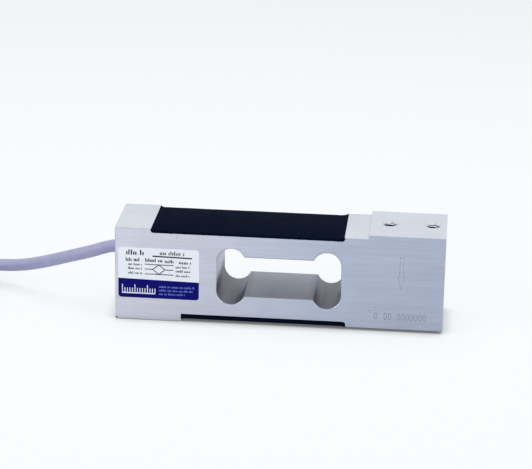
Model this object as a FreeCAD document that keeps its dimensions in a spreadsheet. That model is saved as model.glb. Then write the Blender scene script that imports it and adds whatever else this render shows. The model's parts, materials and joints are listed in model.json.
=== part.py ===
import FreeCAD, Part
import math
import os
import Sketcher

# Single point load cell: a one-piece aluminium bending beam with a four-ear opening,
# foil gauges sealed in shallow recesses above and below it, and a signal cable.
#
# Frame: X runs along the beam from the cable end to the load end, Y across it (the
# labelled side is -Y), Z up. The origin is under the middle of the beam, on the plane
# of the fixed pad's face. All lengths are millimetres.

V = FreeCAD.Vector

# ------------------------------------------------------------------ driving sizes

SIZES = [
    # the beam
    ("beam_length", 130.0, "end to end"),
    ("beam_width", 30.0, "front to back"),
    ("beam_height", 40.0, "fixed pad face to load pad face"),
    ("load_step", 1.6, "load pad above the rest of the top"),
    ("load_slope", 0.4, "run of the step's sloped face"),
    ("load_pad_length", 30.0, "load pad, along X"),
    ("fixed_step", 1.0, "fixed pad below the rest of the underside"),
    ("fixed_pad_length", 26.5, "fixed pad, along X"),
    ("edge_break", 0.25, "chamfer on the beam's outer edges"),
    # the opening
    ("slot_height", 16.4, "slot between the ears"),
    ("ear_radius", 5.6, "each ear"),
    ("ear_inset", 46.1, "a beam end to the middle of the nearer ears"),
    ("ear_cover", 13.95, "a pad face to the middle of the nearer ears"),
    ("gauge_web", 5.3, "metal between an ear and its recess"),
    # the recesses and what is drilled
    ("top_recess_left", 14.3, "cable end to the top recess"),
    ("top_recess_right", 39.5, "top recess to the load end"),
    ("bottom_recess_right", 38.5, "bottom recess to the load end"),
    ("recess_corner", 1.0, "radius in the recess corners"),
    ("bolt_spacing", 17.0, "two bolts of a pad, along X"),
    ("bolt_margin", 5.5, "outer bolt to the beam's end"),
    ("tap_drill", 5.0, "wall of an M6 thread"),
    ("tap_mouth", 6.4, "countersink of a tapped hole"),
    ("tap_depth", 15.0, "full depth of a tapped hole"),
    ("bore_height", 25.5, "cable bore above the fixed pad face"),
    ("bore_diameter", 7.0, "cable bore"),
    ("passage_inset", 32.5, "cable end to the wire passages"),
    ("passage_diameter", 5.0, "passage for the cable's cores"),
    ("link_diameter", 3.0, "passage for the lower gauges' wires"),
    ("link_offset", 7.0, "lower gauges' passage behind the middle"),
    ("pocket_depth", 1.8, "board pocket below the top recess"),
    ("pocket_width", 20.0, "board pocket across the beam"),
    ("pocket_margin", 3.0, "recess end to the board pocket"),
    ("pocket_corner", 2.0, "corner radius of the board pocket"),
    # the sealing compound
    ("potting_edge", 0.7, "top compound's height at its front and back edges"),
    ("potting_crown", 0.05, "top compound's crest below the beam's top"),
    ("meniscus", 2.6, "length over which the compound climbs an end wall"),
    ("bottom_gap", 0.25, "bottom compound's face above the beam's underside"),
    # the gauges and the board
    ("gauge_length", 8.0, "gauge backing along X"),
    ("gauge_width", 6.0, "gauge backing along Y"),
    ("backing", 0.12, "gauge backing thickness"),
    ("foil", 0.08, "gauge foil thickness"),
    ("tab_size", 1.0, "solder tab"),
    ("tab_spread", 2.0, "solder tab to solder tab"),
    ("strand_width", 0.3, "one strand of the gauge grid"),
    ("strand_pitch", 0.6, "strand to strand"),
    ("board_length", 10.5, "terminal board along X"),
    ("board_width", 17.0, "terminal board along Y"),
    ("board_thickness", 0.8, "terminal board"),
    ("board_gap", 0.5, "board to the pocket's end wall"),
    ("pad_pitch", 2.4, "solder pads for the cores"),
    ("pad_size", 1.5, "one solder pad"),
    ("link_wire", 0.4, "gauge wire diameter"),
    ("wire_pitch", 0.6, "gauge wire to gauge wire"),
    ("wire_lane", 6.1, "first gauge wire off the middle"),
    ("wire_bend", 1.5, "widest bend of a gauge wire"),
    # the label
    ("label_length", 32.2, "label along X"),
    ("label_height", 21.0, "label along Z"),
    ("label_thickness", 0.12, "label"),
    ("label_corner", 1.3, "label corner radius"),
    ("label_inset", 1.3, "cable end to the label"),
    ("label_base", 9.3, "label's lower edge above the fixed pad face"),
    # the cable
    ("cable_diameter", 5.0, "jacket"),
    ("cable_straight", 5.5, "straight run out of the bore"),
    ("cable_bend", 200.0, "widest bend of the free cable"),
    ("jacket_wall", 0.9, "jacket wall"),
    ("core_diameter", 1.1, "one insulated core"),
    ("core_circle", 1.0, "cores' centres from the cable's axis"),
    ("core_bend", 2.0, "widest bend of a core"),
    ("jacket_depth", 22.0, "jacket inside the beam"),
    ("seal_length", 8.0, "sealing ring in the bore's mouth"),
    ("coil_radius", 22.0, "put-away coil, at the middle of its turns"),
    ("coil_slack", 0.1, "room round the coil's turns"),
    ("coil_lead", 17.0, "straight lead into the coil"),
    ("coil_turned", 650.0, "degrees that the cable turns in the coil"),
    ("tail_lead", 24.0, "coil to the corner of the tail's bend"),
    ("tail_turn", 78.0, "degrees of the tail's bend"),
    ("tail_run", 24.0, "corner of the tail's bend to the jacket's end"),
    ("tail_bend", 25.0, "widest bend of the tail"),
    ("tie_thickness", 0.6, "coil tie"),
    ("tie_width", 4.0, "coil tie along the cable"),
    ("tie_head", 4.5, "block that locks the tie"),
    ("sleeve_wall", 0.6, "heat-shrink sleeve"),
    ("sleeve_cover", 7.0, "sleeve over the jacket"),
    ("sleeve_nose", 6.0, "sleeve past the jacket's end"),
    ("lead_length", 26.0, "free core past the jacket's end"),
    ("tip_length", 5.0, "tinned end of a core"),
    ("tip_diameter", 0.7, "tinned end of a core"),
]

# The free cable, past its straight start: points of its route as distances from the
# beam's end face, behind the beam's middle, and above the table.
CABLE_SPAN = [(12.0, 0.7, 23.6), (22.0, 3.3, 18.6), (32.5, 8.2, 14.0), (42.5, 13.4, 10.0)]
# Its last two points, at the height of the coil's upper turn.
CABLE_LANDING = [(52.5, 17.6), (62.5, 19.0)]

ARC_SHARE = 0.45  # of the shorter run, taken up by the bend at a corner
LANE_SLOPE = 0.8  # length that a gauge wire takes for each millimetre that it steps aside
RISER_FAN = 1.3  # how much further apart the cores stand as they rise to the board
SIDESTEP = 1.7  # core diameters that the two lowest cores step aside at the top of the rise
LEAD_FAN = (4.5, 4.7)  # how far the free cores fan out, at their landing and at their tips
LEAD_DROP = (1.0, 7.0)  # past the sleeve's nose: where a free core bends down, and where it lands

doc = FreeCAD.newDocument("load_cell")
sheet = doc.addObject("Spreadsheet::Sheet", "sizes")
for row, (alias, value, note) in enumerate(SIZES, start=1):
    sheet.set(f"A{row}", alias)
    sheet.set(f"B{row}", str(value))
    sheet.set(f"C{row}", note)
    sheet.setAlias(f"B{row}", alias)
doc.recompute()
size = {alias: float(sheet.get(alias)) for alias, _, _ in SIZES}

parts = []  # the finished sub-parts, in the order they are written

# ------------------------------------------------------------------ places, as expressions

LEFT = "-sizes.beam_length / 2"
RIGHT = "sizes.beam_length / 2"
TOP = "sizes.beam_height"
BODY_TOP = "sizes.beam_height - sizes.load_step"
BODY_BOTTOM = "sizes.fixed_step"
MID_HEIGHT = "sizes.beam_height / 2"
EAR_X = "(sizes.beam_length / 2 - sizes.ear_inset)"
EAR_Z = "(sizes.beam_height / 2 - sizes.ear_cover)"
WEB_REACH = f"({EAR_Z} + sizes.ear_radius + sizes.gauge_web)"
FLOOR = f"{MID_HEIGHT} + {WEB_REACH}"
CEILING = f"{MID_HEIGHT} - {WEB_REACH}"
RECESS_LEFT = f"{LEFT} + sizes.top_recess_left"
RECESS_RIGHT = f"{RIGHT} - sizes.top_recess_right"
BOTTOM_LEFT = f"{LEFT} + sizes.fixed_pad_length"
BOTTOM_RIGHT = f"{RIGHT} - sizes.bottom_recess_right"
PASSAGE = f"{LEFT} + sizes.passage_inset"
POCKET_LEFT = f"{RECESS_LEFT} + sizes.pocket_margin"
POCKET_RIGHT = f"{PASSAGE} + sizes.passage_diameter / 2 + sizes.board_gap"
POCKET_FLOOR = f"{FLOOR} - sizes.pocket_depth"
BOARD_LEFT = f"{POCKET_LEFT} + sizes.board_gap"
BOARD_RIGHT = f"{BOARD_LEFT} + sizes.board_length"
BOARD_TOP = f"{POCKET_FLOOR} + sizes.board_thickness"

# The same places as numbers, for the pieces that follow a route.
end_x = -size["beam_length"] / 2
ear_x = size["beam_length"] / 2 - size["ear_inset"]
mid_height = size["beam_height"] / 2
web_reach = mid_height - size["ear_cover"] + size["ear_radius"] + size["gauge_web"]
floor_z = mid_height + web_reach
ceiling_z = mid_height - web_reach
passage_x = end_x + size["passage_inset"]
board_left = end_x + size["top_recess_left"] + size["pocket_margin"] + size["board_gap"]
board_right = board_left + size["board_length"]
board_top = floor_z - size["pocket_depth"] + size["board_thickness"]
foil_height = size["backing"] + size["foil"]


# ------------------------------------------------------------------ helpers


def finish(obj, label):
    """Name a finished sub-part and list it for writing."""
    obj.Label = label
    parts.append(obj)
    return obj


def plane(body, role):
    """One of a body's own origin planes."""
    return next(item for item in body.Origin.OriginFeatures if item.Role == role)


def new_sketch(body, name, role, offset="0 mm"):
    """An empty sketch on one of the body's origin planes, moved along its normal."""
    sketch = body.newObject("Sketcher::SketchObject", name)
    sketch.AttachmentSupport = [(plane(body, role), "")]
    sketch.MapMode = "FlatFace"
    sketch.setExpression("AttachmentOffset.Base.z", offset)
    return sketch


def place_point(sketch, line, end, across, up):
    """Hold one point of a sketch at two distances from its origin, as expressions."""
    for kind, distance in (("DistanceX", across), ("DistanceY", up)):
        index = sketch.addConstraint(Sketcher.Constraint(kind, -1, 1, line, end, 1.0))
        sketch.setExpression(f"Constraints[{index}]", distance)


def polygon(sketch, corners):
    """A closed outline through corners, each a pair of expressions."""
    count = len(corners)
    first = sketch.GeometryCount
    angles = [math.tau * i / count for i in range(count)]
    ring = [V(math.cos(angle), math.sin(angle), 0) for angle in angles]
    for i in range(count):
        sketch.addGeometry(Part.LineSegment(ring[i], ring[(i + 1) % count]))
    for i in range(count):
        following = first + (i + 1) % count
        sketch.addConstraint(Sketcher.Constraint("Coincident", first + i, 2, following, 1))
    for i, (across, up) in enumerate(corners):
        place_point(sketch, first + i, 1, across, up)
    return sketch


def rectangle(sketch, left, right, low, high):
    """A rectangle between four expressions."""
    return polygon(sketch, [(left, low), (right, low), (right, high), (left, high)])


def circle(sketch, across, up, radius):
    """A circle whose centre and radius are expressions."""
    line = sketch.addGeometry(Part.Circle(V(0, 0, 0), V(0, 0, 1), 1.0))
    place_point(sketch, line, 3, across, up)
    index = sketch.addConstraint(Sketcher.Constraint("Radius", line, 1.0))
    sketch.setExpression(f"Constraints[{index}]", radius)
    return sketch


def pad(body, sketch, name, length, symmetric=False, reverse=False):
    """Extrude a sketch by an expression."""
    feature = body.newObject("PartDesign::Pad", name)
    feature.Profile = sketch
    feature.setExpression("Length", length)
    feature.SideType = "Symmetric" if symmetric else "One side"
    feature.Reversed = reverse
    doc.recompute()
    return feature


def pocket(body, sketch, name, length=None, reverse=False):
    """Cut a sketch into the body by an expression, or right through it both ways."""
    before = body.Shape.Volume
    feature = body.newObject("PartDesign::Pocket", name)
    feature.Profile = sketch
    if length is None:
        feature.Type = "ThroughAll"
        feature.SideType = "Symmetric"
    else:
        feature.setExpression("Length", length)
    feature.Reversed = reverse
    doc.recompute()
    if not body.Shape.Volume < before:
        raise RuntimeError(f"{name} cuts nothing")
    return feature


def near(value, target):
    return abs(value - target) < 1e-4


def edges_along(shape, axis, test):
    """Names of the straight edges along one axis whose start passes a test."""
    across = [name for name in "xyz" if name != axis]
    found = []
    for number, edge in enumerate(shape.Edges, start=1):
        low, high = edge.Vertexes[0].Point, edge.Vertexes[-1].Point
        straight = all(near(getattr(low, name), getattr(high, name)) for name in across)
        if straight and len(edge.Vertexes) > 1 and test(low):
            found.append(f"Edge{number}")
    return found


def soften(body, kind, name, edges, amount):
    """A PartDesign fillet or chamfer on named edges of the body's tip."""
    base = body.Tip
    feature = body.newObject(f"PartDesign::{kind}", name)
    feature.Base = (base, edges)
    feature.setExpression("Radius" if kind == "Fillet" else "Size", amount)
    body.Tip = feature
    doc.recompute()
    if not feature.isValid():
        raise RuntimeError(f"{name}: {feature.getStatusString()}")
    return feature


def turned(body, sketch, name):
    """A full turn of a sketch about the body's own Z axis."""
    feature = body.newObject("PartDesign::Revolution", name)
    feature.Profile = sketch
    feature.ReferenceAxis = (plane(body, "Z_Axis"), [""])
    feature.Angle = 360
    doc.recompute()
    return feature


def repeat(body, originals, name, role, length, count):
    """A linear pattern of features along one of the body's origin axes."""
    feature = body.newObject("PartDesign::LinearPattern", name)
    feature.Originals = originals
    feature.Direction = (plane(body, role), [""])
    feature.setExpression("Length", length)
    feature.setExpression("Occurrences", count)
    body.Tip = feature
    doc.recompute()
    return feature


def mirror(body, originals, name, role):
    """Mirror features of a body about one of its origin planes."""
    feature = body.newObject("PartDesign::Mirrored", name)
    feature.Originals = originals
    feature.MirrorPlane = (plane(body, role), [""])
    body.Tip = feature
    doc.recompute()
    return feature


def box(label, length, width, height, x, y, z):
    """A Part::Box sized and placed by expressions; x, y, z is its lowest corner."""
    block = doc.addObject("Part::Box", label)
    for name, value in (("Length", length), ("Width", width), ("Height", height)):
        block.setExpression(name, value)
    for axis, value in (("x", x), ("y", y), ("z", z)):
        block.setExpression(f"Placement.Base.{axis}", value)
    return block


def cylinder(label, radius, height, start, along):
    """A Part::Cylinder whose radius and height are expressions."""
    rod = doc.addObject("Part::Cylinder", label)
    rod.setExpression("Radius", radius)
    rod.setExpression("Height", height)
    rod.Placement = FreeCAD.Placement(start, FreeCAD.Rotation(V(0, 0, 1), along))
    return rod


def fuse(label, shapes):
    joined = doc.addObject("Part::MultiFuse", label)
    joined.Shapes = shapes
    joined.Refine = True
    return joined


def cut(label, base, tools):
    """base less tools, one after the other."""
    result = base
    for number, tool in enumerate(tools, start=1):
        step = doc.addObject("Part::Cut", f"{label}_{number}")
        step.Base = result
        step.Tool = tool
        result = step
    return result


def rounded_path(points, widest):
    """The straight runs through points, and the tangent bends that join them.

    widest is the largest radius of a bend.
    """
    runs, bends = [], []
    start = points[0]
    for before, corner, after in zip(points, points[1:], points[2:]):
        come, go = corner - before, after - corner
        turn = come.getAngle(go)
        reach = min(ARC_SHARE * min(come.Length, go.Length), widest * math.tan(turn / 2))
        come.normalize()
        go.normalize()
        normal = come.cross(go)
        normal.normalize()
        enter = corner - come * reach
        center = enter + normal.cross(come) * (reach / math.tan(turn / 2))
        runs.append((start, enter))
        bends.append((center, enter - center, normal, turn))
        start = corner + go * reach
    runs.append((start, points[-1]))
    return runs, bends


def tube(name, points, diameter, bend_size):
    """A round rod along a rounded path, with its length and the radii of its bends.

    diameter and bend_size, the largest radius of a bend, are names of sizes.
    """
    runs, bends = rounded_path(points, size[bend_size])
    radius = f"sizes.{diameter} / 2"
    pieces = []
    for number, (start, end) in enumerate(runs, start=1):
        run = end - start
        pieces.append(cylinder(f"{name}_run_{number}", radius, f"{run.Length}", start, run))
    for number, (center, spoke, normal, turn) in enumerate(bends, start=1):
        bend = doc.addObject("Part::Torus", f"{name}_bend_{number}")
        bend.Radius1 = spoke.Length
        bend.setExpression("Radius2", radius)
        bend.Angle3 = math.degrees(turn)
        bend.Placement = FreeCAD.Placement(center, FreeCAD.Rotation(spoke, V(), normal, "ZXY"))
        pieces.append(bend)
    rod = fuse(name, pieces)
    doc.recompute()
    length = sum((end - start).Length for start, end in runs)
    length += sum(spoke.Length * turn for _, spoke, _, turn in bends)
    expected = math.pi * size[diameter] ** 2 / 4 * length
    if not abs(rod.Shape.Volume - expected) < 0.001 * expected:
        raise RuntimeError(f"{name} has not the volume of its section times its length")
    return rod, length, [spoke.Length for _, spoke, _, _ in bends]


# ------------------------------------------------------------------ the beam


def make_beam():
    """One block: profile, opening, edge breaks, then what is drilled and milled."""
    body = doc.addObject("PartDesign::Body", "Beam")
    side = new_sketch(body, "side_profile", "XZ_Plane")
    polygon(side, [
        (LEFT, "0"),
        (BOTTOM_LEFT, "0"),
        (BOTTOM_LEFT, CEILING),
        (BOTTOM_RIGHT, CEILING),
        (BOTTOM_RIGHT, BODY_BOTTOM),
        (RIGHT, BODY_BOTTOM),
        (RIGHT, TOP),
        (f"{RIGHT} - sizes.load_pad_length", TOP),
        (f"{RIGHT} - sizes.load_pad_length - sizes.load_slope", BODY_TOP),
        (RECESS_RIGHT, BODY_TOP),
        (RECESS_RIGHT, FLOOR),
        (RECESS_LEFT, FLOOR),
        (RECESS_LEFT, BODY_TOP),
        (LEFT, BODY_TOP),
    ])
    pad(body, side, "block", "sizes.beam_width", symmetric=True)

    recess_ends = (
        end_x + size["top_recess_left"],
        -end_x - size["top_recess_right"],
        -end_x - size["bottom_recess_right"],
    )

    def in_recess_corner(point):
        at_end = any(near(point.x, x) for x in recess_ends)
        return at_end and (near(point.z, floor_z) or near(point.z, ceiling_z))

    corners = edges_along(body.Shape, "y", in_recess_corner)
    soften(body, "Fillet", "recess_corners", corners, "sizes.recess_corner")

    cross = new_sketch(body, "opening_cross", "XZ_Plane")
    slot_x, slot_z = EAR_X, "sizes.slot_height / 2"
    wall_x, wall_z = f"({EAR_X} + sizes.ear_radius)", EAR_Z
    outline = [
        (f"-{wall_x}", f"-{wall_z}"), (f"-{slot_x}", f"-{wall_z}"), (f"-{slot_x}", f"-{slot_z}"),
        (slot_x, f"-{slot_z}"), (slot_x, f"-{wall_z}"), (wall_x, f"-{wall_z}"),
        (wall_x, wall_z), (slot_x, wall_z), (slot_x, slot_z),
        (f"-{slot_x}", slot_z), (f"-{slot_x}", wall_z), (f"-{wall_x}", wall_z),
    ]
    polygon(cross, [(across, f"{MID_HEIGHT} + ({up})") for across, up in outline])
    pocket(body, cross, "opening")
    ears = []
    for name, sign in (("upper_ear", "+"), ("lower_ear", "-")):
        ear = new_sketch(body, f"{name}_circle", "XZ_Plane")
        circle(ear, EAR_X, f"{MID_HEIGHT} {sign} {EAR_Z}", "sizes.ear_radius")
        ears.append(pocket(body, ear, name))
    mirror(body, ears, "ears_mirrored", "YZ_Plane")

    half_width = size["beam_width"] / 2

    def on_rim(point):
        return near(abs(point.y), half_width)

    def on_side(edge):
        points = [edge.valueAt(edge.FirstParameter + share * (edge.LastParameter - edge.FirstParameter))
                  for share in (0.0, 0.5, 1.0)]
        front = all(near(point.y, points[0].y) for point in points)
        return front and on_rim(points[0])

    rims = [f"Edge{i}" for i, edge in enumerate(body.Shape.Edges, start=1) if on_side(edge)]
    soften(body, "Chamfer", "edge_breaks", rims, "sizes.edge_break")

    for name, height, reverse, sign in (
        ("load", TOP, False, ""),
        ("fixed", "0", True, "-"),
    ):
        outer = f"{sign}(sizes.beam_length / 2 - sizes.bolt_margin)"
        inner = f"{sign}(sizes.beam_length / 2 - sizes.bolt_margin - sizes.bolt_spacing)"
        drills = new_sketch(body, f"{name}_centres", "XY_Plane", height)
        circle(drills, outer, "0", "sizes.tap_drill / 2")
        circle(drills, inner, "0", "sizes.tap_drill / 2")
        before = body.Shape.Volume
        hole = body.newObject("PartDesign::Hole", f"{name}_bolt_holes")
        hole.Profile = drills
        doc.recompute()
        hole.ThreadType = "None"
        hole.setExpression("Diameter", "sizes.tap_drill")
        hole.DepthType = "Dimension"
        hole.setExpression("Depth", "sizes.tap_depth")
        hole.DrillPoint = "Angled"
        hole.DrillPointAngle = 118
        hole.HoleCutType = "Countersink"
        hole.HoleCutCountersinkAngle = 90
        hole.setExpression("HoleCutDiameter", "sizes.tap_mouth")
        hole.Reversed = reverse
        doc.recompute()
        if not body.Shape.Volume < before:
            raise RuntimeError(f"{name} bolt holes cut nothing")

    bore = new_sketch(body, "bore_circle", "YZ_Plane", LEFT)
    circle(bore, "0", "sizes.bore_height", "sizes.bore_diameter / 2")
    pocket(body, bore, "cable_bore", "sizes.passage_inset + sizes.passage_diameter / 2", reverse=True)

    seat = new_sketch(body, "pocket_outline", "XY_Plane", POCKET_FLOOR)
    half_pocket = "sizes.pocket_width / 2"
    rectangle(seat, POCKET_LEFT, POCKET_RIGHT, f"-{half_pocket}", half_pocket)
    pocket(body, seat, "board_pocket", "sizes.pocket_depth", reverse=True)
    left_wall = board_left - size["board_gap"]
    right_wall = passage_x + size["passage_diameter"] / 2 + size["board_gap"]

    def in_pocket_corner(point):
        lengthwise = near(point.x, left_wall) or near(point.x, right_wall)
        return lengthwise and near(abs(point.y), size["pocket_width"] / 2)

    corners = edges_along(body.Shape, "z", in_pocket_corner)
    soften(body, "Fillet", "pocket_corners", corners, "sizes.pocket_corner")

    passage = new_sketch(body, "passage_circle", "XY_Plane", "sizes.bore_height")
    circle(passage, PASSAGE, "0", "sizes.passage_diameter / 2")
    pocket(body, passage, "core_passage", f"{FLOOR} - sizes.bore_height", reverse=True)
    link = new_sketch(body, "link_circle", "XY_Plane", CEILING)
    circle(link, PASSAGE, "sizes.link_offset", "sizes.link_diameter / 2")
    pocket(body, link, "link_passage", f"({FLOOR}) - ({CEILING})", reverse=True)
    return finish(body, "beam")


# ------------------------------------------------------------------ gauges, board, resistors


def make_gauge(label, side, face, up):
    """A foil gauge: backing, grid and two solder tabs, on one ear's web.

    side is -1 or 1, for the cable end or the load end. face is the web's surface and
    up is 1 where the gauge lies on it and -1 where it hangs from it.
    """
    body = doc.addObject("PartDesign::Body", label)
    half_length, half_width = "sizes.gauge_length / 2", "sizes.gauge_width / 2"
    carrier = new_sketch(body, f"{label}_carrier", "XY_Plane")
    rectangle(carrier, f"-{half_length}", half_length, f"-{half_width}", half_width)
    pad(body, carrier, f"{label}_backing", "sizes.backing")

    grid = new_sketch(body, f"{label}_strand", "XY_Plane", "sizes.backing")
    strand_left = f"-{half_length} + 2 * sizes.tab_size"
    strand_right = f"{half_length} - sizes.tab_size"
    first = "-3 * sizes.strand_pitch"
    rectangle(grid, strand_left, strand_right,
              f"{first} - sizes.strand_width / 2", f"{first} + sizes.strand_width / 2")
    strand = pad(body, grid, f"{label}_first_strand", "sizes.foil")
    repeat(body, [strand], f"{label}_grid", "Y_Axis", "6 * sizes.strand_pitch", "7")

    tabs = new_sketch(body, f"{label}_tabs", "XY_Plane", "sizes.backing")
    for sign in ("-", ""):
        middle = f"{sign}sizes.tab_spread / 2"
        rectangle(tabs, f"-{half_length} + sizes.tab_size / 2", f"-{half_length} + sizes.tab_size * 3 / 2",
                  f"{middle} - sizes.tab_size / 2", f"{middle} + sizes.tab_size / 2")
    pad(body, tabs, f"{label}_solder_tabs", "sizes.foil")

    body.Placement.Rotation = FreeCAD.Rotation(V(1, 0, 0), 0 if up > 0 else 180)
    body.setExpression("Placement.Base.x", f"{side} * {EAR_X}")
    body.setExpression("Placement.Base.z", face)
    return finish(body, label)


def make_board():
    """The terminal board with its solder pads, on the pocket's floor."""
    body = doc.addObject("PartDesign::Body", "TerminalBoard")
    outline = new_sketch(body, "board_outline", "XY_Plane", POCKET_FLOOR)
    half = "sizes.board_width / 2"
    rectangle(outline, BOARD_LEFT, BOARD_RIGHT, f"-{half}", half)
    pad(body, outline, "board_sheet", "sizes.board_thickness")
    lands = new_sketch(body, "board_land", "XY_Plane", BOARD_TOP)
    low = "-2 * sizes.pad_pitch - sizes.pad_size / 2"
    rectangle(lands, f"{BOARD_LEFT} + sizes.board_gap", f"{BOARD_LEFT} + sizes.board_gap + sizes.pad_size",
              low, f"{low} + sizes.pad_size")
    land = pad(body, lands, "first_land", "sizes.foil")
    repeat(body, [land], "lands", "Y_Axis", "4 * sizes.pad_pitch", "5")
    return finish(body, "terminal_board")


def make_resistors():
    """The balance resistor on the board and the span resistor's foil in the recess."""
    balance = box("balance_chip", "2 * sizes.pad_size", "sizes.pad_size", "sizes.board_thickness",
                  f"{BOARD_LEFT} + sizes.board_gap",
                  "sizes.board_width / 2 - sizes.board_gap - sizes.pad_size", BOARD_TOP)
    finish(balance, "balance_resistor")
    span = box("span_foil", "sizes.gauge_length / 2", "sizes.gauge_width / 2", "sizes.backing",
               "-sizes.gauge_length / 4", "-sizes.gauge_width / 4", FLOOR)
    finish(span, "span_resistor")


# ------------------------------------------------------------------ wires inside the beam


def wire_group(label, wires, diameter):
    """Several separate wires as one sub-part."""
    group = doc.addObject("Part::Compound", label)
    group.Links = [tube(f"{label}_{i}", points, diameter, "wire_bend")[0]
                   for i, points in enumerate(wires, start=1)]
    doc.recompute()
    return finish(group, label)


def gauge_wires(face_z, away, hand, to_board):
    """The routes of a pair of gauges' four wires, from their tabs to the board.

    away is 1 where the wires lie on the web and -1 where they hang from it, hand is the
    side of the beam that they keep to, and to_board ends a route that starts in a lane.
    """
    tab_x = size["gauge_length"] / 2 + size["link_wire"]
    z = face_z + away * (foil_height + size["link_wire"] / 2)
    routes = []
    for number in range(4):
        gauge_x = (-ear_x, ear_x)[number // 2]
        nearer = number % 2
        tab_y = hand * (nearer * 2 - 1) * size["tab_spread"] / 2
        lane_y = hand * (size["wire_lane"] + number * size["wire_pitch"])
        spread = abs(lane_y - tab_y)
        start = V(gauge_x - tab_x, tab_y, z)
        lane = V(gauge_x - tab_x - spread * LANE_SLOPE, lane_y, z)
        routes.append([start, lane] + to_board(lane_y, z))
    return routes


def make_gauge_wires():
    rest = board_top + size["link_wire"] / 2
    land_x = board_right - size["pad_size"]

    def over_the_pocket(lane_y, z):
        return [V(passage_x, lane_y, z), V(land_x, lane_y, rest)]

    def up_the_link(lane_y, z):
        return [V(passage_x, lane_y, z), V(passage_x, lane_y, rest), V(land_x, lane_y, rest)]

    wire_group("top_gauge_wires", gauge_wires(floor_z, 1, -1, over_the_pocket), "link_wire")
    wire_group("bottom_gauge_wires", gauge_wires(ceiling_z, -1, 1, up_the_link), "link_wire")


CORES = ["shield", "red", "black", "green", "white"]


def core_places():
    """Where each core lies round the cable's axis: across the beam, then up."""
    places = []
    for number in range(len(CORES)):
        angle = math.tau * number / len(CORES) + math.pi / 2
        radius = size["core_circle"]
        places.append((radius * math.cos(angle), radius * math.sin(angle)))
    return places


def make_inner_cable():
    """What lies in the bore: seal ring, jacket, and five cores that rise to the board."""
    axis = V(1, 0, 0)
    mouth = V(end_x, 0, size["bore_height"])
    plug = cylinder("seal_plug", "sizes.bore_diameter / 2", "sizes.seal_length", mouth, axis)
    through = cylinder("seal_bore", "sizes.cable_diameter / 2", "sizes.seal_length", mouth, axis)
    finish(cut("seal", plug, [through]), "cable_seal")
    skin = cylinder("jacket_skin", "sizes.cable_diameter / 2", "sizes.jacket_depth", mouth, axis)
    hollow = cylinder("jacket_hollow", "sizes.cable_diameter / 2 - sizes.jacket_wall",
                      "sizes.jacket_depth", mouth, axis)
    finish(cut("jacket", skin, [hollow]), "inner_jacket")

    radius = size["core_diameter"] / 2
    rest = board_top + size["foil"] + radius
    land_x = board_left + size["board_gap"] + size["pad_size"]
    for color, (y, z) in zip(CORES, core_places()):
        rise_x = passage_x - RISER_FAN * z
        level = size["bore_height"] + z
        column = [V(end_x, y, level), V(rise_x, y, level), V(rise_x, y, rest)]
        outer = z < 0
        lane = 0 if abs(y) < radius else (2 if outer else 1)
        side = 1 if y > 0 else -1
        land = V(land_x, side * lane * size["pad_pitch"], rest)
        aside = side * (abs(y) + size["core_diameter"] * SIDESTEP)
        step = [V(passage_x - radius, aside, rest)] if outer else []
        core, _, _ = tube(f"core_{color}_rod", column + step + [land], "core_diameter", "core_bend")
        finish(core, f"core_{color}")


# ------------------------------------------------------------------ sealing compound


def make_top_potting(beam, embedded):
    """A crowned fill of the top recess and the board's pocket, which climbs both end walls."""
    half = "sizes.beam_width / 2"
    length = f"({RECESS_RIGHT}) - ({RECESS_LEFT})"
    edge = f"({FLOOR} + sizes.potting_edge)"
    crest = f"({BODY_TOP} - sizes.potting_crown)"
    block = box("crown_block", length, "sizes.beam_width", f"{crest} - ({POCKET_FLOOR})",
                RECESS_LEFT, f"-{half}", POCKET_FLOOR)
    rise = f"({crest} - {edge})"
    crown_radius = f"({rise} * {rise} + {half} * {half}) / (2 * {rise})"
    drum = cylinder("crown_drum", crown_radius, length, V(0, 0, 0), V(1, 0, 0))
    drum.setExpression("Placement.Base.x", RECESS_LEFT)
    drum.setExpression("Placement.Base.z", f"{crest} - {crown_radius}")
    crown = doc.addObject("Part::Common", "crown")
    crown.Base = block
    crown.Tool = drum

    climb = f"({BODY_TOP} - {edge})"
    climb_radius = f"({climb} * {climb} + sizes.meniscus * sizes.meniscus) / (2 * {climb})"
    fills = [crown]
    for name, corner, middle in (
        ("left", RECESS_LEFT, f"{RECESS_LEFT} + sizes.meniscus"),
        ("right", f"{RECESS_RIGHT} - sizes.meniscus", f"{RECESS_RIGHT} - sizes.meniscus"),
    ):
        wedge = box(f"{name}_wedge", "sizes.meniscus", "sizes.beam_width", f"{BODY_TOP} - ({FLOOR})",
                    corner, f"-{half}", FLOOR)
        hollow = cylinder(f"{name}_hollow", climb_radius, "sizes.beam_width", V(0, 0, 0), V(0, 1, 0))
        hollow.setExpression("Placement.Base.x", middle)
        hollow.setExpression("Placement.Base.y", f"-{half}")
        hollow.setExpression("Placement.Base.z", f"{edge} + {climb_radius}")
        fills.append(cut(f"{name}_climb", wedge, [hollow]))
    fill = fuse("top_fill", fills)
    doc.recompute()
    return finish(cut("top_fill_cut", fill, [beam] + embedded), "top_potting")


def make_bottom_potting(beam, embedded):
    """A level fill of the bottom recess, a little short of the beam's underside."""
    face = f"{BODY_BOTTOM} + sizes.bottom_gap"
    length = f"({BOTTOM_RIGHT}) - ({BOTTOM_LEFT})"
    fill = box("bottom_fill", length, "sizes.beam_width", f"{CEILING} - ({face})",
               BOTTOM_LEFT, "-sizes.beam_width / 2", face)
    return finish(cut("bottom_fill_cut", fill, [beam] + embedded), "bottom_potting")


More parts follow.
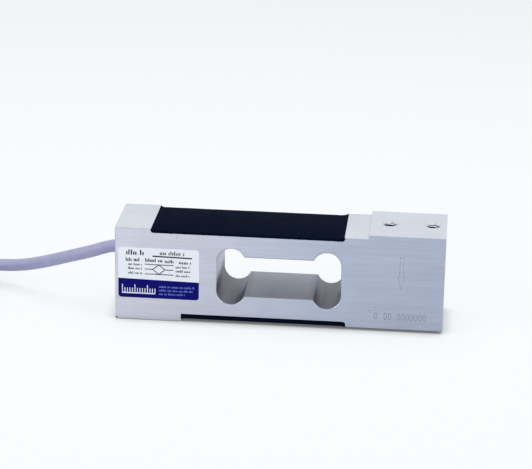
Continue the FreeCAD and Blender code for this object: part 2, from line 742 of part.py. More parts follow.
def make_label():
    """A bare plate with rounded corners on the front side."""
    body = doc.addObject("PartDesign::Body", "Label")
    outline = new_sketch(body, "label_outline", "XZ_Plane", "sizes.beam_width / 2")
    left = f"{LEFT} + sizes.label_inset"
    rectangle(outline, left, f"{left} + sizes.label_length",
              "sizes.label_base", "sizes.label_base + sizes.label_height")
    pad(body, outline, "label_plate", "sizes.label_thickness")
    corners = [f"Edge{i}" for i, edge in enumerate(body.Shape.Edges, start=1)
               if near(edge.Length, size["label_thickness"])]
    soften(body, "Fillet", "label_corners", corners, "sizes.label_corner")
    return finish(body, "label")


# ------------------------------------------------------------------ the free cable

cable_radius = size["cable_diameter"] / 2
lower_turn = size["tie_thickness"] + cable_radius
upper_turn = lower_turn + size["cable_diameter"]


def make_cable():
    """The stretch from the beam's end face to the coil, and where it arrives."""
    points = [V(end_x, 0, size["bore_height"]), V(end_x - size["cable_straight"], 0, size["bore_height"])]
    points += [V(end_x - back, across, up) for back, across, up in CABLE_SPAN]
    points += [V(end_x - back, across, upper_turn) for back, across in CABLE_LANDING]
    cable, length, radii = tube("free_cable", points, "cable_diameter", "cable_bend")
    print("cable radii:", ", ".join(f"{radius:.1f}" for radius in radii))
    finish(cable, "cable")
    return points[-1], points[-1] - points[-2], length


def make_coil(start, heading):
    """The put-away length: turns on each other, with a straight lead in and a bent tail.

    The cable comes in on the upper turn, goes down to the lower one within the ring, and
    leaves under its own lead. Returns the solid, the ring's centre, the jacket's end, the
    direction that it points in, and the length of cable in all of it.
    """
    heading.normalize()
    radius = size["coil_radius"]
    touch = start + heading * size["coil_lead"]
    center = touch + V(-heading.y, heading.x, 0) * radius
    center.z = 0
    turned_by = FreeCAD.Rotation(V(0, 0, 1), size["coil_turned"])
    leave = center + turned_by.multVec(touch - center - V(0, 0, touch.z)) + V(0, 0, lower_turn)
    away = turned_by.multVec(heading)

    hull = "(sizes.cable_diameter / 2 + sizes.coil_slack)"
    ring = doc.addObject("PartDesign::Body", "CoilRing")
    section = new_sketch(ring, "coil_section", "XZ_Plane")
    inside, outside = f"sizes.coil_radius - {hull}", f"sizes.coil_radius + {hull}"
    rectangle(section, inside, outside, f"{lower_turn}", f"{upper_turn}")
    turned(ring, section, "coil_wall")
    for name, height in (("lower_round", lower_turn), ("upper_round", upper_turn)):
        round_section = new_sketch(ring, f"{name}_section", "XZ_Plane")
        circle(round_section, "sizes.coil_radius", f"{height}", hull)
        turned(ring, round_section, name)
    ring.Placement.Base = center

    lead_in = cylinder("coil_lead_in", "sizes.cable_diameter / 2", "sizes.coil_lead", start, heading)
    onward = FreeCAD.Rotation(V(0, 0, 1), size["tail_turn"]).multVec(away)
    corner = leave + away * size["tail_lead"]
    jacket_end = corner + onward * size["tail_run"]
    tail, tail_length, _ = tube("coil_tail", [leave, corner, jacket_end], "cable_diameter", "tail_bend")
    coil = finish(fuse("coil", [ring, lead_in, tail]), "cable_coil")
    doc.recompute()
    length = size["coil_lead"] + math.radians(size["coil_turned"]) * radius + tail_length
    return coil, center, jacket_end, onward, length


def make_tie(coil, center):
    """A flat tie round both turns, with its locking block inside the coil."""
    middle_y = center.y - size["coil_radius"]
    strap = doc.addObject("Part::Box", "tie_strap")
    strap.setExpression("Length", "sizes.tie_width")
    strap.setExpression("Width", "sizes.cable_diameter + 2 * sizes.tie_thickness")
    strap.setExpression("Height", "2 * sizes.cable_diameter + 2 * sizes.tie_thickness")
    strap_y = middle_y - cable_radius - size["tie_thickness"]
    strap.Placement.Base = V(center.x - size["tie_width"] / 2, strap_y, 0)
    doc.recompute()
    lengthwise = edges_along(strap.Shape, "x", lambda point: True)
    rounded = doc.addObject("Part::Fillet", "tie_rounded")
    rounded.Base = strap
    rounded.Edges = [(int(name.removeprefix("Edge")), cable_radius, cable_radius) for name in lengthwise]
    head = doc.addObject("Part::Box", "tie_block")
    for side in ("Length", "Height"):
        head.setExpression(side, "sizes.tie_head")
    head.setExpression("Width", "sizes.tie_head - sizes.tie_thickness")
    head.Placement.Base = V(
        center.x - size["tie_head"] / 2,
        middle_y + cable_radius + size["tie_thickness"] / 2,
        (lower_turn + upper_turn - size["tie_head"]) / 2,
    )
    tie = fuse("tie", [rounded, head])
    doc.recompute()
    return finish(cut("tie_cut", tie, [coil]), "coil_tie")


def make_end(jacket_end, away):
    """The sleeve over the jacket's end, and the five free cores with their tinned tips."""
    bundle = "(sizes.core_circle + sizes.core_diameter / 2)"
    back = jacket_end - away * size["sleeve_cover"]
    skin = "sizes.cable_diameter / 2 + sizes.sleeve_wall"
    grip = cylinder("sleeve_grip", skin, "sizes.sleeve_cover", back, away)
    nose = doc.addObject("Part::Cone", "sleeve_nose")
    nose.setExpression("Radius1", skin)
    nose.setExpression("Radius2", f"{bundle} + sizes.sleeve_wall")
    nose.setExpression("Height", "sizes.sleeve_nose")
    nose.Placement = FreeCAD.Placement(jacket_end, FreeCAD.Rotation(V(0, 0, 1), away))
    inside = cylinder("sleeve_inside", "sizes.cable_diameter / 2", "sizes.sleeve_cover", back, away)
    throat = cylinder("sleeve_throat", bundle, "sizes.sleeve_nose", jacket_end, away)
    finish(cut("sleeve", fuse("sleeve_outside", [grip, nose]), [inside, throat]), "end_sleeve")

    across = V(-away.y, away.x, 0)
    tips = []
    for color, (side, up) in zip(CORES, core_places()):
        floor = V(jacket_end.x, jacket_end.y, size["core_diameter"] / 2)
        start = jacket_end + across * side + V(0, 0, up)
        points = [
            start,
            start + away * (size["sleeve_nose"] + LEAD_DROP[0]),
            floor + away * (size["sleeve_nose"] + LEAD_DROP[1]) + across * side * LEAD_FAN[0],
            floor + away * size["lead_length"] + across * side * LEAD_FAN[1],
        ]
        lead, _, _ = tube(f"lead_{color}_rod", points, "core_diameter", "core_bend")
        finish(lead, f"lead_{color}")
        onward = points[-1] - points[-2]
        tip_radius = "sizes.tip_diameter / 2"
        tips.append(cylinder(f"tip_{color}", tip_radius, "sizes.tip_length", points[-1], onward))
    group = doc.addObject("Part::Compound", "tips")
    group.Links = tips
    finish(group, "lead_tips")


# ------------------------------------------------------------------ assembly

beam = make_beam()
for level, face, up in (("top", FLOOR, 1), ("bottom", CEILING, -1)):
    for end, side in (("left", -1), ("right", 1)):
        make_gauge(f"gauge_{level}_{end}", side, face, up)
make_board()
make_resistors()
make_gauge_wires()
make_inner_cable()
doc.recompute()

by_label = {part.Label: part for part in parts}
top_pieces = ["gauge_top_left", "gauge_top_right", "terminal_board", "balance_resistor", "span_resistor",
              "top_gauge_wires", "bottom_gauge_wires"] + [f"core_{color}" for color in CORES]
make_top_potting(beam, [by_label[label] for label in top_pieces])
bottom_pieces = ["gauge_bottom_left", "gauge_bottom_right", "bottom_gauge_wires"]
make_bottom_potting(beam, [by_label[label] for label in bottom_pieces])
make_label()
arrival, heading, span_length = make_cable()
coil, coil_center, jacket_end, away, coil_length = make_coil(arrival, heading)
make_tie(coil, coil_center)
make_end(jacket_end, away)
doc.recompute()
print(f"cable length: {span_length + coil_length:.1f}")

# ------------------------------------------------------------------ checks and files

for obj in doc.Objects:
    if "Invalid" in obj.State or "Error" in obj.State:
        raise RuntimeError(f"{obj.Label} failed: {obj.State}")
for part in parts:
    shape = part.Shape
    if shape.isNull() or not shape.isValid() or not shape.Solids:
        raise RuntimeError(f"{part.Label} has no valid solid")

os.makedirs("parts", exist_ok=True)
for part in parts:
    part.Shape.exportStep(f"parts/{part.Label}.step")
print(f"{len(parts)} sub-parts, {sum(len(part.Shape.Solids) for part in parts)} solids")
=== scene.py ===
"""The finished look of a single point load cell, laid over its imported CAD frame.

The frame holds every rigid piece at its real size. This script gives each piece its
finish, lays the signal cable along its route, and adds what is too fine for the frame:
screw threads, the print on the label, engraving, the cured skin of the sealing
compound, the cable tie, the heat-shrink sleeve and the stranded tips of the cores.
Lengths are in millimetres unless a comment says otherwise.
"""

import json
import logging
import math
import random
from dataclasses import dataclass
from enum import Enum

import bmesh
import bpy
from mathutils import Matrix, Vector, noise


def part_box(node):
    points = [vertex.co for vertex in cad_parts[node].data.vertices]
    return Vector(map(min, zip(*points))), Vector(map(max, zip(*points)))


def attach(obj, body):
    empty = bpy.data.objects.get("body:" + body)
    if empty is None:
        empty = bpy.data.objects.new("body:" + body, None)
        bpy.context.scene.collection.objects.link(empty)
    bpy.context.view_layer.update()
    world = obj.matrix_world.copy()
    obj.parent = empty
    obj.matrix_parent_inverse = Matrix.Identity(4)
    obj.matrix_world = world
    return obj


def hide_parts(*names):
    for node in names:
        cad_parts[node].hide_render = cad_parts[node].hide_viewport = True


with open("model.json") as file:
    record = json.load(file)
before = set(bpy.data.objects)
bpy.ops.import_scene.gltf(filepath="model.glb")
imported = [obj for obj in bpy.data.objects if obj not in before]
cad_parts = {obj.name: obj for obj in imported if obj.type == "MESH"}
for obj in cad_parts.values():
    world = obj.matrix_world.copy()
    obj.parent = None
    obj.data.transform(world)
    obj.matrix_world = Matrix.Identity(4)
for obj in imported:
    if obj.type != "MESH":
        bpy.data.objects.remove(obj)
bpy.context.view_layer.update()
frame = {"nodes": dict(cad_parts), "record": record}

MM = 0.001  # metres in a millimetre
UP = Vector((0, 0, 1))

log = logging.getLogger("load_cell")

Ring = list[Vector]
Point = tuple[float, float]
Place = tuple[float, float, float]
Outline = list[Point]
Ramp = tuple[float, float, float, float]  # start, end, and the values there
Material = bpy.types.Material
Mesh = bpy.types.Mesh
Object = bpy.types.Object
Socket = bpy.types.NodeSocket
Tree = bpy.types.NodeTree


# ---- nodes


def linear(hex_color: str) -> tuple[float, float, float, float]:
    """Linear RGBA of an sRGB hex colour.

    Args:
        hex_color: colour such as "#C0C6D0".

    Returns:
        Linear red, green, blue, and an alpha of 1.
    """
    channels = [int(hex_color[i:i + 2], 16) / 255 for i in (1, 3, 5)]
    return (*[c / 12.92 if c <= 0.04045 else ((c + 0.055) / 1.055) ** 2.4 for c in channels], 1.0)


def add_node(tree: Tree, kind: str, inputs: dict, **settings) -> bpy.types.Node:
    """Add one node, with its settings, its values and its links.

    Args:
        tree: node tree that takes the node.
        kind: node type, such as "ShaderNodeBump".
        inputs: for each input, by name or number, a value or the socket to link.
        settings: properties of the node itself.

    Returns:
        The new node.
    """
    node = tree.nodes.new(kind)
    for name, value in settings.items():
        setattr(node, name, value)
    for key, value in inputs.items():
        if isinstance(value, Socket):
            tree.links.new(value, node.inputs[key])
        else:
            node.inputs[key].default_value = value
    return node


class Wiring:
    """A node tree, with short ways to add the nodes that the finishes share."""

    def __init__(self, tree: Tree) -> None:
        """Take the tree."""
        self.tree = tree

    def math(self, operation: str, *values: float | Socket) -> Socket:
        """A number worked out from others."""
        return add_node(self.tree, "ShaderNodeMath", dict(enumerate(values)), operation=operation).outputs[0]

    def vector(self, operation: str, *values: Place | Socket) -> Socket:
        """A vector worked out from others, or the length of one."""
        node = add_node(self.tree, "ShaderNodeVectorMath", dict(enumerate(values)), operation=operation)
        return node.outputs[1 if operation == "LENGTH" else 0]

    def axes(self, vector: Socket) -> tuple[Socket, ...]:
        """The three parts of a vector."""
        return tuple(add_node(self.tree, "ShaderNodeSeparateXYZ", {0: vector}).outputs)

    def remap(self, value: Socket, start: float, end: float, low: float, high: float,
              clamp: bool = True) -> Socket:
        """A number carried from the range start to end over to low to high."""
        inputs = {0: value, 1: start, 2: end, 3: low, 4: high}
        return add_node(self.tree, "ShaderNodeMapRange", inputs, clamp=clamp).outputs[0]

    def ramp(self, place: Socket, ramp: Ramp) -> Socket:
        """A number that goes along a length from one value to another."""
        start, end, low, high = ramp
        return self.remap(place, start * MM, end * MM, low, high)

    def varied(self, field: Socket, low: float, high: float) -> Socket:
        """A number that goes from low to high with a noise field's usual values."""
        return self.remap(field, 0.3, 0.7, low, high)

    def number(self, share: Socket, first: Socket, second: Socket) -> Socket:
        """A number between two, by a share."""
        inputs = {0: share, 2: first, 3: second}
        return add_node(self.tree, "ShaderNodeMix", inputs, data_type="FLOAT").outputs[0]

    def color(self, share: float | Socket, first: tuple | Socket, second: tuple | Socket,
              blend: str = "MIX") -> Socket:
        """A colour between two, by a share."""
        inputs = {0: share, 6: first, 7: second}
        return add_node(self.tree, "ShaderNodeMix", inputs, data_type="RGBA", blend_type=blend).outputs[2]

    def shaded(self, color: tuple | Socket, shade: Socket) -> Socket:
        """A colour made duller or brighter by a factor."""
        return self.color(1.0, color, shade, "MULTIPLY")


class Surface(Wiring):
    """A new material while its finish is laid on it."""

    def __init__(self, name: str) -> None:
        """Start a material with a Principled shader and coordinates in metres."""
        self.material = bpy.data.materials.new(name)
        self.material.use_nodes = True
        super().__init__(self.material.node_tree)
        self.shader = self.tree.nodes["Principled BSDF"]
        self.place = add_node(self.tree, "ShaderNodeTexCoord", {}).outputs["Object"]

    def grain(self, lengths: Place, detail: float = 2.0) -> Socket:
        """A noise field from 0 to 1 whose features have real lengths.

        Args:
            lengths: length of a feature along X, Y and Z.
            detail: how many finer layers the noise has.

        Returns:
            The noise.
        """
        scaled = self.vector("MULTIPLY", self.place, [1 / (length * MM) for length in lengths])
        inputs = {"Vector": scaled, "Scale": 1.0, "Detail": detail}
        return add_node(self.tree, "ShaderNodeTexNoise", inputs).outputs[0]

    def offset(self, middle: Place) -> Socket:
        """Coordinates from a point given in millimetres."""
        return self.vector("SUBTRACT", self.place, [length * MM for length in middle])

    def bump(self, height: Socket, strength: float, depth: float, below: Socket | None = None) -> Socket:
        """A fine relief, as a normal.

        Args:
            height: the relief's field.
            strength: how much of it shows.
            depth: its depth at full strength.
            below: a normal that it is laid over.

        Returns:
            The normal.
        """
        inputs = {"Strength": strength, "Distance": depth * MM, "Height": height}
        if below is not None:
            inputs["Normal"] = below
        return add_node(self.tree, "ShaderNodeBump", inputs).outputs[0]

    def dress(self, color: Socket, roughness: Socket, normal: Socket | None = None,
              constants: dict[str, float] | None = None) -> Material:
        """Link a finish to the shader.

        Args:
            color: its colour.
            roughness: its roughness.
            normal: its relief, or none.
            constants: values of the shader's other inputs, by name.

        Returns:
            The finished material.
        """
        for name, source in (("Base Color", color), ("Roughness", roughness), ("Normal", normal)):
            if source is not None:
                self.tree.links.new(source, self.shader.inputs[name])
        for name, value in (constants or {}).items():
            self.shader.inputs[name].default_value = value
        return self.material


# ---- meshes and pieces


def skin(name: str, lofts: list[list[Ring]], wrap: bool = False, sharp: float = 35.0) -> Mesh:
    """A mesh of lofts, each a skin through closed rings of points.

    Args:
        name: the mesh's name.
        lofts: rings of points, all rings of a loft with as many points.
        wrap: join each loft's last ring to its first, in place of capping both.
        sharp: angle in degrees past which an edge is shaded as a corner.

    Returns:
        The mesh, in metres.
    """
    points, faces = [], []
    for rings in lofts:
        count, first = len(rings[0]), len(points)
        points += [point * MM for ring in rings for point in ring]
        for i in range(len(rings) if wrap else len(rings) - 1):
            here, there = first + i * count, first + (i + 1) % len(rings) * count
            faces += [(here + j, there + j, there + (j + 1) % count, here + (j + 1) % count)
                      for j in range(count)]
        if not wrap:
            last = len(points) - count
            faces += [tuple(range(first, first + count)), tuple(range(last, last + count))]
    mesh = bpy.data.meshes.new(name)
    mesh.from_pydata(points, [], faces)
    tidy = bmesh.new()
    tidy.from_mesh(mesh)
    bmesh.ops.recalc_face_normals(tidy, faces=tidy.faces)
    tidy.to_mesh(mesh)
    tidy.free()
    mesh.shade_smooth()
    mesh.set_sharp_from_angle(angle=math.radians(sharp))
    return mesh


def flat_shapes(name: str, outlines: list[Outline], y: float) -> Mesh:
    """Flat shapes that face the front.

    Args:
        name: the mesh's name.
        outlines: closed outlines of (x, z) points, counterclockwise.
        y: where the shapes lie across the beam.

    Returns:
        The mesh, in metres.
    """
    points, faces = [], []
    for outline in outlines:
        faces.append(tuple(range(len(points), len(points) + len(outline))))
        points += [Vector((x, y, z)) * MM for x, z in outline]
    mesh = bpy.data.meshes.new(name)
    mesh.from_pydata(points, [], faces)
    return mesh


def add_piece(name: str, data: Mesh | bpy.types.Curve, material: Material,
              stands_for: tuple[str, ...] = ()) -> Object:
    """Add a piece of the load cell to the scene.

    Args:
        name: the piece's name.
        data: its mesh or curve, in metres.
        material: its finish.
        stands_for: CAD nodes that it is shown in place of.

    Returns:
        The new object.
    """
    piece = add_object(name, data)
    data.materials.append(material)
    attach(piece, "root")
    if stands_for:
        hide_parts(*stands_for)
    log.info("added %s", name)
    return piece


def add_object(name: str, data: bpy.types.ID) -> Object:
    """Add an object to the scene.

    Args:
        name: the object's name.
        data: its mesh, curve, camera or lamp.

    Returns:
        The new object.
    """
    item = bpy.data.objects.new(name, data)
    bpy.context.scene.collection.objects.link(item)
    return item


def corners_mm(node: str) -> tuple[Vector, Vector]:
    """Lowest and highest corner of a CAD node."""
    low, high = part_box(node)
    return low / MM, high / MM


def spoke(first: Vector, second: Vector, angle: float) -> Vector:
    """The unit vector at an angle from a first axis towards a second."""
    return first * math.cos(angle) + second * math.sin(angle)


# ---- outlines on the front


def bar(left: float, low: float, right: float, high: float) -> Outline:
    """A rectangle."""
    return [(left, low), (right, low), (right, high), (left, high)]


def stroke(start: Point, end: Point, width: float) -> Outline:
    """A straight stroke from one point to another.

    Args:
        start, end: its ends.
        width: its width.

    Returns:
        The outline.
    """
    along = Vector((end[0] - start[0], end[1] - start[1])).normalized()
    aside = Vector((along.y, -along.x)) * width / 2
    return [(start[0] + aside.x, start[1] + aside.y), (end[0] + aside.x, end[1] + aside.y),
            (end[0] - aside.x, end[1] - aside.y), (start[0] - aside.x, start[1] - aside.y)]


def closed_line(points: Outline, width: float) -> list[Outline]:
    """A line through points and back to the first, as strokes."""
    return [stroke(point, points[(i + 1) % len(points)], width) for i, point in enumerate(points)]


def rounded(left: float, low: float, right: float, high: float, radii: tuple[float, float, float, float],
            steps: int = 8) -> Outline:
    """A rectangle with rounded corners.

    Args:
        left, low, right, high: its sides.
        radii: corner radii, from the lower left corner counterclockwise.
        steps: segments of each corner.

    Returns:
        The outline.
    """
    outline = []
    places = [(left, low, 1, 1), (right, low, -1, 1), (right, high, -1, -1), (left, high, 1, -1)]
    for number, ((x, z, inward_x, inward_z), radius) in enumerate(zip(places, radii)):
        for step in range(steps + 1):
            angle = math.pi + math.pi / 2 * (number + step / steps)
            outline.append((x + inward_x * radius + radius * math.cos(angle),
                            z + inward_z * radius + radius * math.sin(angle)))
    return outline


# ---- finishes


class Facing(Enum):
    """Which way a recess or a tapped hole opens."""

    UP = 1
    DOWN = -1


@dataclass(frozen=True)
class Mark:
    """A small dark mark of use on the beam's metal."""

    place: Place
    size: Place
    darkness: float
    color: str = "#2A2626"


@dataclass(frozen=True)
class MilledAluminium:
    """Clear anodised aluminium alloy.

    The sides carry the long fine lines of a brushed, fly-cut face, the pads and the top
    are cut finer and look brighter, and the walls of the opening keep a duller finish
    with cutter lines straight through the beam. Painted light and shade lie over this:
    the sides are lighter at the cable end and darker at the load end, painted shade
    darkens the walls of the opening, the ears' lower walls, the broken edges and the
    tapped holes, and a painted highlight lies high on the ears' walls.
    """

    # painted light: the sides are lighter towards the cable end and darker towards the load end
    cable_end_lit_color: str = "#CACBD8"
    load_end_shaded_color: str = "#B9C1D4"
    pad_color: str = "#CACFD8"
    # partly the opening's duller finish, partly painted shade in the opening
    opening_shaded_color: str = "#9195A0"
    # painted shade inside the tapped holes
    hole_shade_color: str = "#0A0A0D"
    edge_shade: float = 0.6  # painted shade: factor on the colour of the broken edges
    ear_shade: float = 0.55  # painted shade: factor on the colour of the ears' lower walls
    side_lines: Place = (11.0, 11.0, 0.26)
    side_bands: Place = (60.0, 60.0, 2.4)
    clouds: Place = (14.0, 14.0, 9.0)
    pad_grain: Place = (0.45, 0.7, 0.45)
    opening_lines: Place = (0.8, 40.0, 0.8)
    roughness: float = 0.36
    opening_roughness: float = 0.12  # how much rougher the walls of the opening are
    middle: float = 20.0  # the beam's mid height
    opening: Place = (25.5, 14.9, 12.5)  # half its length, width and height, with room
    end_light_blend: Ramp = (-50.0, 20.0, 0.0, 1.0)  # along X, from the painted light at the cable end to the painted shade at the load end
    ear_reach: Ramp = (11.0, 17.0, 0.0, 1.0)  # from the opening's middle into an ear, where its painted shade and highlight lie
    ear_level: Ramp = (15.5, 20.0, 1.0, -2.9)  # up an ear's wall, from painted shade to a painted highlight
    depths: Place = (0.08, 0.03, 0.03)  # how far lines, bands and clouds vary the colour
    hole_radius: float = 3.0
    hole_shade_ramp: Ramp = (19.1, 19.45, 0.98, 0.0)  # painted shade, from a hole's wall out, measured from mid height

    def material(self, marks: tuple[Mark, ...]) -> Material:
        """The finish of the whole beam.

        Args:
            marks: the marks of use to draw on it.

        Returns:
            The material.
        """
        surface = Surface("milled_aluminium")
        normal = add_node(surface.tree, "ShaderNodeNewGeometry", {}).outputs["Normal"]
        facing = surface.axes(surface.vector("ABSOLUTE", normal))
        side = surface.remap(facing[1], 0.75, 0.95, 0.0, 1.0)
        inside = self.opening_share(surface, side)
        lines = surface.grain(self.side_lines, 3.0)
        bands = surface.grain(self.side_bands, 1.0)
        clouds = surface.grain(self.clouds, 1.0)
        cut = surface.number(side, surface.grain(self.pad_grain), lines)
        cut = surface.number(inside, cut, surface.grain(self.opening_lines, 3.0))

        # painted light along the sides: lighter at the cable end, darker at the load end
        along = surface.ramp(surface.axes(surface.place)[0], self.end_light_blend)
        ends = surface.color(along, linear(self.cable_end_lit_color), linear(self.load_end_shaded_color))
        color = surface.color(side, linear(self.pad_color), ends)
        # painted shade on the broken edges, which dulls their highlight
        slanted = [surface.math("COMPARE", facing[axis], math.sqrt(0.5), 0.12) for axis in (1, 2)]
        broken = surface.math("MULTIPLY", *slanted)
        color = surface.shaded(color, surface.remap(broken, 0.0, 1.0, 1.0, self.edge_shade))
        # the opening's walls: their duller finish, darkened further as painted shade
        color = surface.color(inside, color, linear(self.opening_shaded_color))
        for field, depth in zip((cut, bands, clouds), self.depths):
            color = surface.shaded(color, surface.remap(field, 0.25, 0.75, 1 - depth, 1 + depth))
        # painted shade low in the ears and a painted highlight high on their walls
        color = surface.shaded(color, self.ear_shade_and_light(surface, inside))
        for mark in marks:
            color = self.marked(surface, color, mark)
        # painted shade inside the tapped holes
        for places, way in ((HOLES_UP, Facing.UP), (HOLES_DOWN, Facing.DOWN)):
            for x in places:
                share = self.hole_shade_share(surface, x, way)
                color = surface.color(share, color, linear(self.hole_shade_color))

        rough = surface.varied(cut, self.roughness - 0.05, self.roughness + 0.05)
        rough = surface.math("MULTIPLY_ADD", inside, self.opening_roughness, rough)
        return surface.dress(color, rough, surface.bump(cut, 0.25, 0.02), {"Metallic": 1.0})

    def opening_share(self, surface: Surface, side: Socket) -> Socket:
        """1 on the walls of the opening and 0 elsewhere.

        Args:
            surface: the finish so far.
            side: 1 on the beam's front and back, 0 elsewhere.

        Returns:
            The share.
        """
        parts = surface.axes(surface.vector("ABSOLUTE", surface.offset((0.0, 0.0, self.middle))))
        share = surface.math("SUBTRACT", 1.0, side)
        for part, limit in zip(parts, self.opening):
            share = surface.math("MULTIPLY", share, surface.math("LESS_THAN", part, limit * MM))
        return share

    def ear_shade_and_light(self, surface: Surface, inside: Socket) -> Socket:
        """A factor on the ears' colour: painted shade low on their walls, and a painted highlight high up.

        Args:
            surface: the finish so far.
            inside: 1 on the walls of the opening, 0 elsewhere.

        Returns:
            The factor.
        """
        x, _, z = surface.axes(surface.place)
        ear = surface.ramp(surface.math("ABSOLUTE", x), self.ear_reach)
        low = surface.ramp(z, self.ear_level)
        share = surface.math("MULTIPLY", surface.math("MULTIPLY", ear, low), inside)
        return surface.remap(share, 0.0, 1.0, 1.0, self.ear_shade, clamp=False)

    def hole_shade_share(self, surface: Surface, x: float, facing: Facing) -> Socket:
        """1 where painted shade darkens the wall of one tapped hole, and 0 elsewhere.

        Args:
            surface: the finish so far.
            x: the hole's place along the beam.
            facing: which way the hole opens.

        Returns:
            The share.
        """
        offset = surface.offset((x, 0.0, self.middle))
        radius = surface.vector("LENGTH", surface.vector("MULTIPLY", offset, (1.0, 1.0, 0.0)))
        near = surface.math("LESS_THAN", radius, self.hole_radius * MM)
        level = surface.math("MULTIPLY", surface.axes(offset)[2], float(facing.value))
        deep = surface.ramp(level, self.hole_shade_ramp)
        past = surface.math("GREATER_THAN", level, 0.0)
        return surface.math("MULTIPLY", surface.math("MULTIPLY", near, deep), past)

    def marked(self, surface: Surface, color: Socket, mark: Mark) -> Socket:
        """The colour so far, with one more mark in it.

        Args:
            surface: the finish so far.
            color: its colour.
            mark: the mark.

        Returns:
            The colour with the mark.
        """
        sizes = [length * MM for length in mark.size]
        away = surface.vector("LENGTH", surface.vector("DIVIDE", surface.offset(mark.place), sizes))
        share = surface.remap(away, 0.6, 1.1, mark.darkness, 0.0)
        return surface.color(share, color, linear(mark.color))


@dataclass(frozen=True)
class CastSilicone:
    """Black silicone sealing compound, poured and left to level.

    It cures to a satin skin with shallow waves, a few settled dust specks, and hardly any
    light of its own.
    """

    color: str = "#080F20"
    dust_color: str = "#1B2338"
    wave: float = 5.0
    dust: float = 0.5
    roughness: float = 0.55
    shine: float = 0.003

    def material(self) -> Material:
        """The compound's finish."""
        surface = Surface("cast_silicone")
        waves = surface.grain((self.wave,) * 3)
        dust = surface.grain((self.dust,) * 3, 1.0)
        specks = surface.remap(dust, 0.62, 0.78, 0.0, 0.7)
        color = surface.color(specks, linear(self.color), linear(self.dust_color))
        rough = surface.varied(waves, self.roughness - 0.06, self.roughness + 0.06)
        normal = surface.bump(dust, 0.2, 0.03, surface.bump(waves, 0.3, 0.3))
        return surface.dress(color, rough, normal, {"Specular IOR Level": self.shine})


@dataclass(frozen=True)
class ExtrudedPvc:
    """Soft PVC, extruded over cores or wire.

    A satin skin with a fine grain, handling smudges and a few specks of dirt.
    """

    name: str
    color: str
    dirt_color: str
    roughness: float = 0.48
    smudge: float = 4.0
    speck: float = 1.3
    skin_grain: float = 0.3
    ior: float = 1.53

    def material(self) -> Material:
        """The PVC's finish."""
        surface = Surface(self.name)
        smudges = surface.grain((self.smudge,) * 3)
        color = surface.shaded(linear(self.color), surface.varied(smudges, 0.94, 1.05))
        dirt = surface.remap(surface.grain((self.speck,) * 3, 1.0), 0.72, 0.8, 0.0, 0.55)
        color = surface.color(dirt, color, linear(self.dirt_color))
        rough = surface.varied(smudges, self.roughness - 0.06, self.roughness + 0.06)
        normal = surface.bump(surface.grain((self.skin_grain,) * 3), 0.25, 0.05)
        return surface.dress(color, rough, normal, {"IOR": self.ior})


@dataclass(frozen=True)
class MouldedPlastic:
    """A moulded, laminated or coated plastic with a fine, even grain."""

    name: str
    color: str
    roughness: float = 0.5
    grit: float = 0.25
    mottle: float = 0.06
    ior: float = 1.5

    def material(self) -> Material:
        """The plastic's finish."""
        surface = Surface(self.name)
        grit = surface.grain((self.grit,) * 3)
        broad = surface.grain((12 * self.grit,) * 3)
        color = surface.shaded(linear(self.color), surface.varied(broad, 1 - self.mottle, 1 + self.mottle))
        rough = surface.varied(grit, self.roughness - 0.05, self.roughness + 0.05)
        return surface.dress(color, rough, surface.bump(grit, 0.2, 0.03), {"IOR": self.ior})


@dataclass(frozen=True)
class DrawnMetal:
    """Drawn or cut metal: tinned copper strands, enamelled wire, foil and fresh thread crests."""

    name: str
    color: str
    roughness: float
    line: float = 0.15

    def material(self) -> Material:
        """The metal's finish."""
        surface = Surface(self.name)
        lines = surface.grain((self.line, 4 * self.line, self.line))
        color = surface.shaded(linear(self.color), surface.varied(lines, 0.85, 1.1))
        rough = surface.varied(lines, self.roughness - 0.04, self.roughness + 0.08)
        return surface.dress(color, rough, surface.bump(lines, 0.2, 0.02), {"Metallic": 1.0})


@dataclass(frozen=True)
class PrintedInk:
    """Screen-printed ink on polyester film: flat and even, a little thin in places."""

    name: str
    color: str
    film_color: str
    thin: float  # share of what is under it that shows through where it is thin
    mesh: float = 0.2
    roughness: float = 0.4
    shine: float = 0.06

    def material(self) -> Material:
        """The ink's finish."""
        surface = Surface(self.name)
        mesh = surface.grain((self.mesh,) * 3)
        bare = surface.remap(mesh, 0.45, 0.75, 0.0, self.thin)
        color = surface.color(bare, linear(self.color), linear(self.film_color))
        rough = surface.varied(mesh, self.roughness - 0.03, self.roughness + 0.03)
        return surface.dress(color, rough, constants={"Specular IOR Level": self.shine})


class CoreColor(Enum):
    """The cable's cores, in their order round its axis."""

    SHIELD = "#B9B7B0"
    RED = "#B3181C"
    BLACK = "#17171A"
    GREEN = "#1B7A3A"
    WHITE = "#E9E7E0"


WHITE_FILM = "#F2F5FA"
NAVY = "#03036A"
HOLES_UP = (42.5, 59.5)  # along X
HOLES_DOWN = (-59.5, -42.5)
USE_MARKS = (
    Mark((-64.3, -15.0, 0.76), (0.5, 0.5, 0.32), 0.95),
    Mark((36.0, -15.0, 8.6), (0.3, 0.3, 0.3), 0.5),
    Mark((-40.6, -15.0, 35.3), (0.14, 0.3, 0.7), 0.35),
)


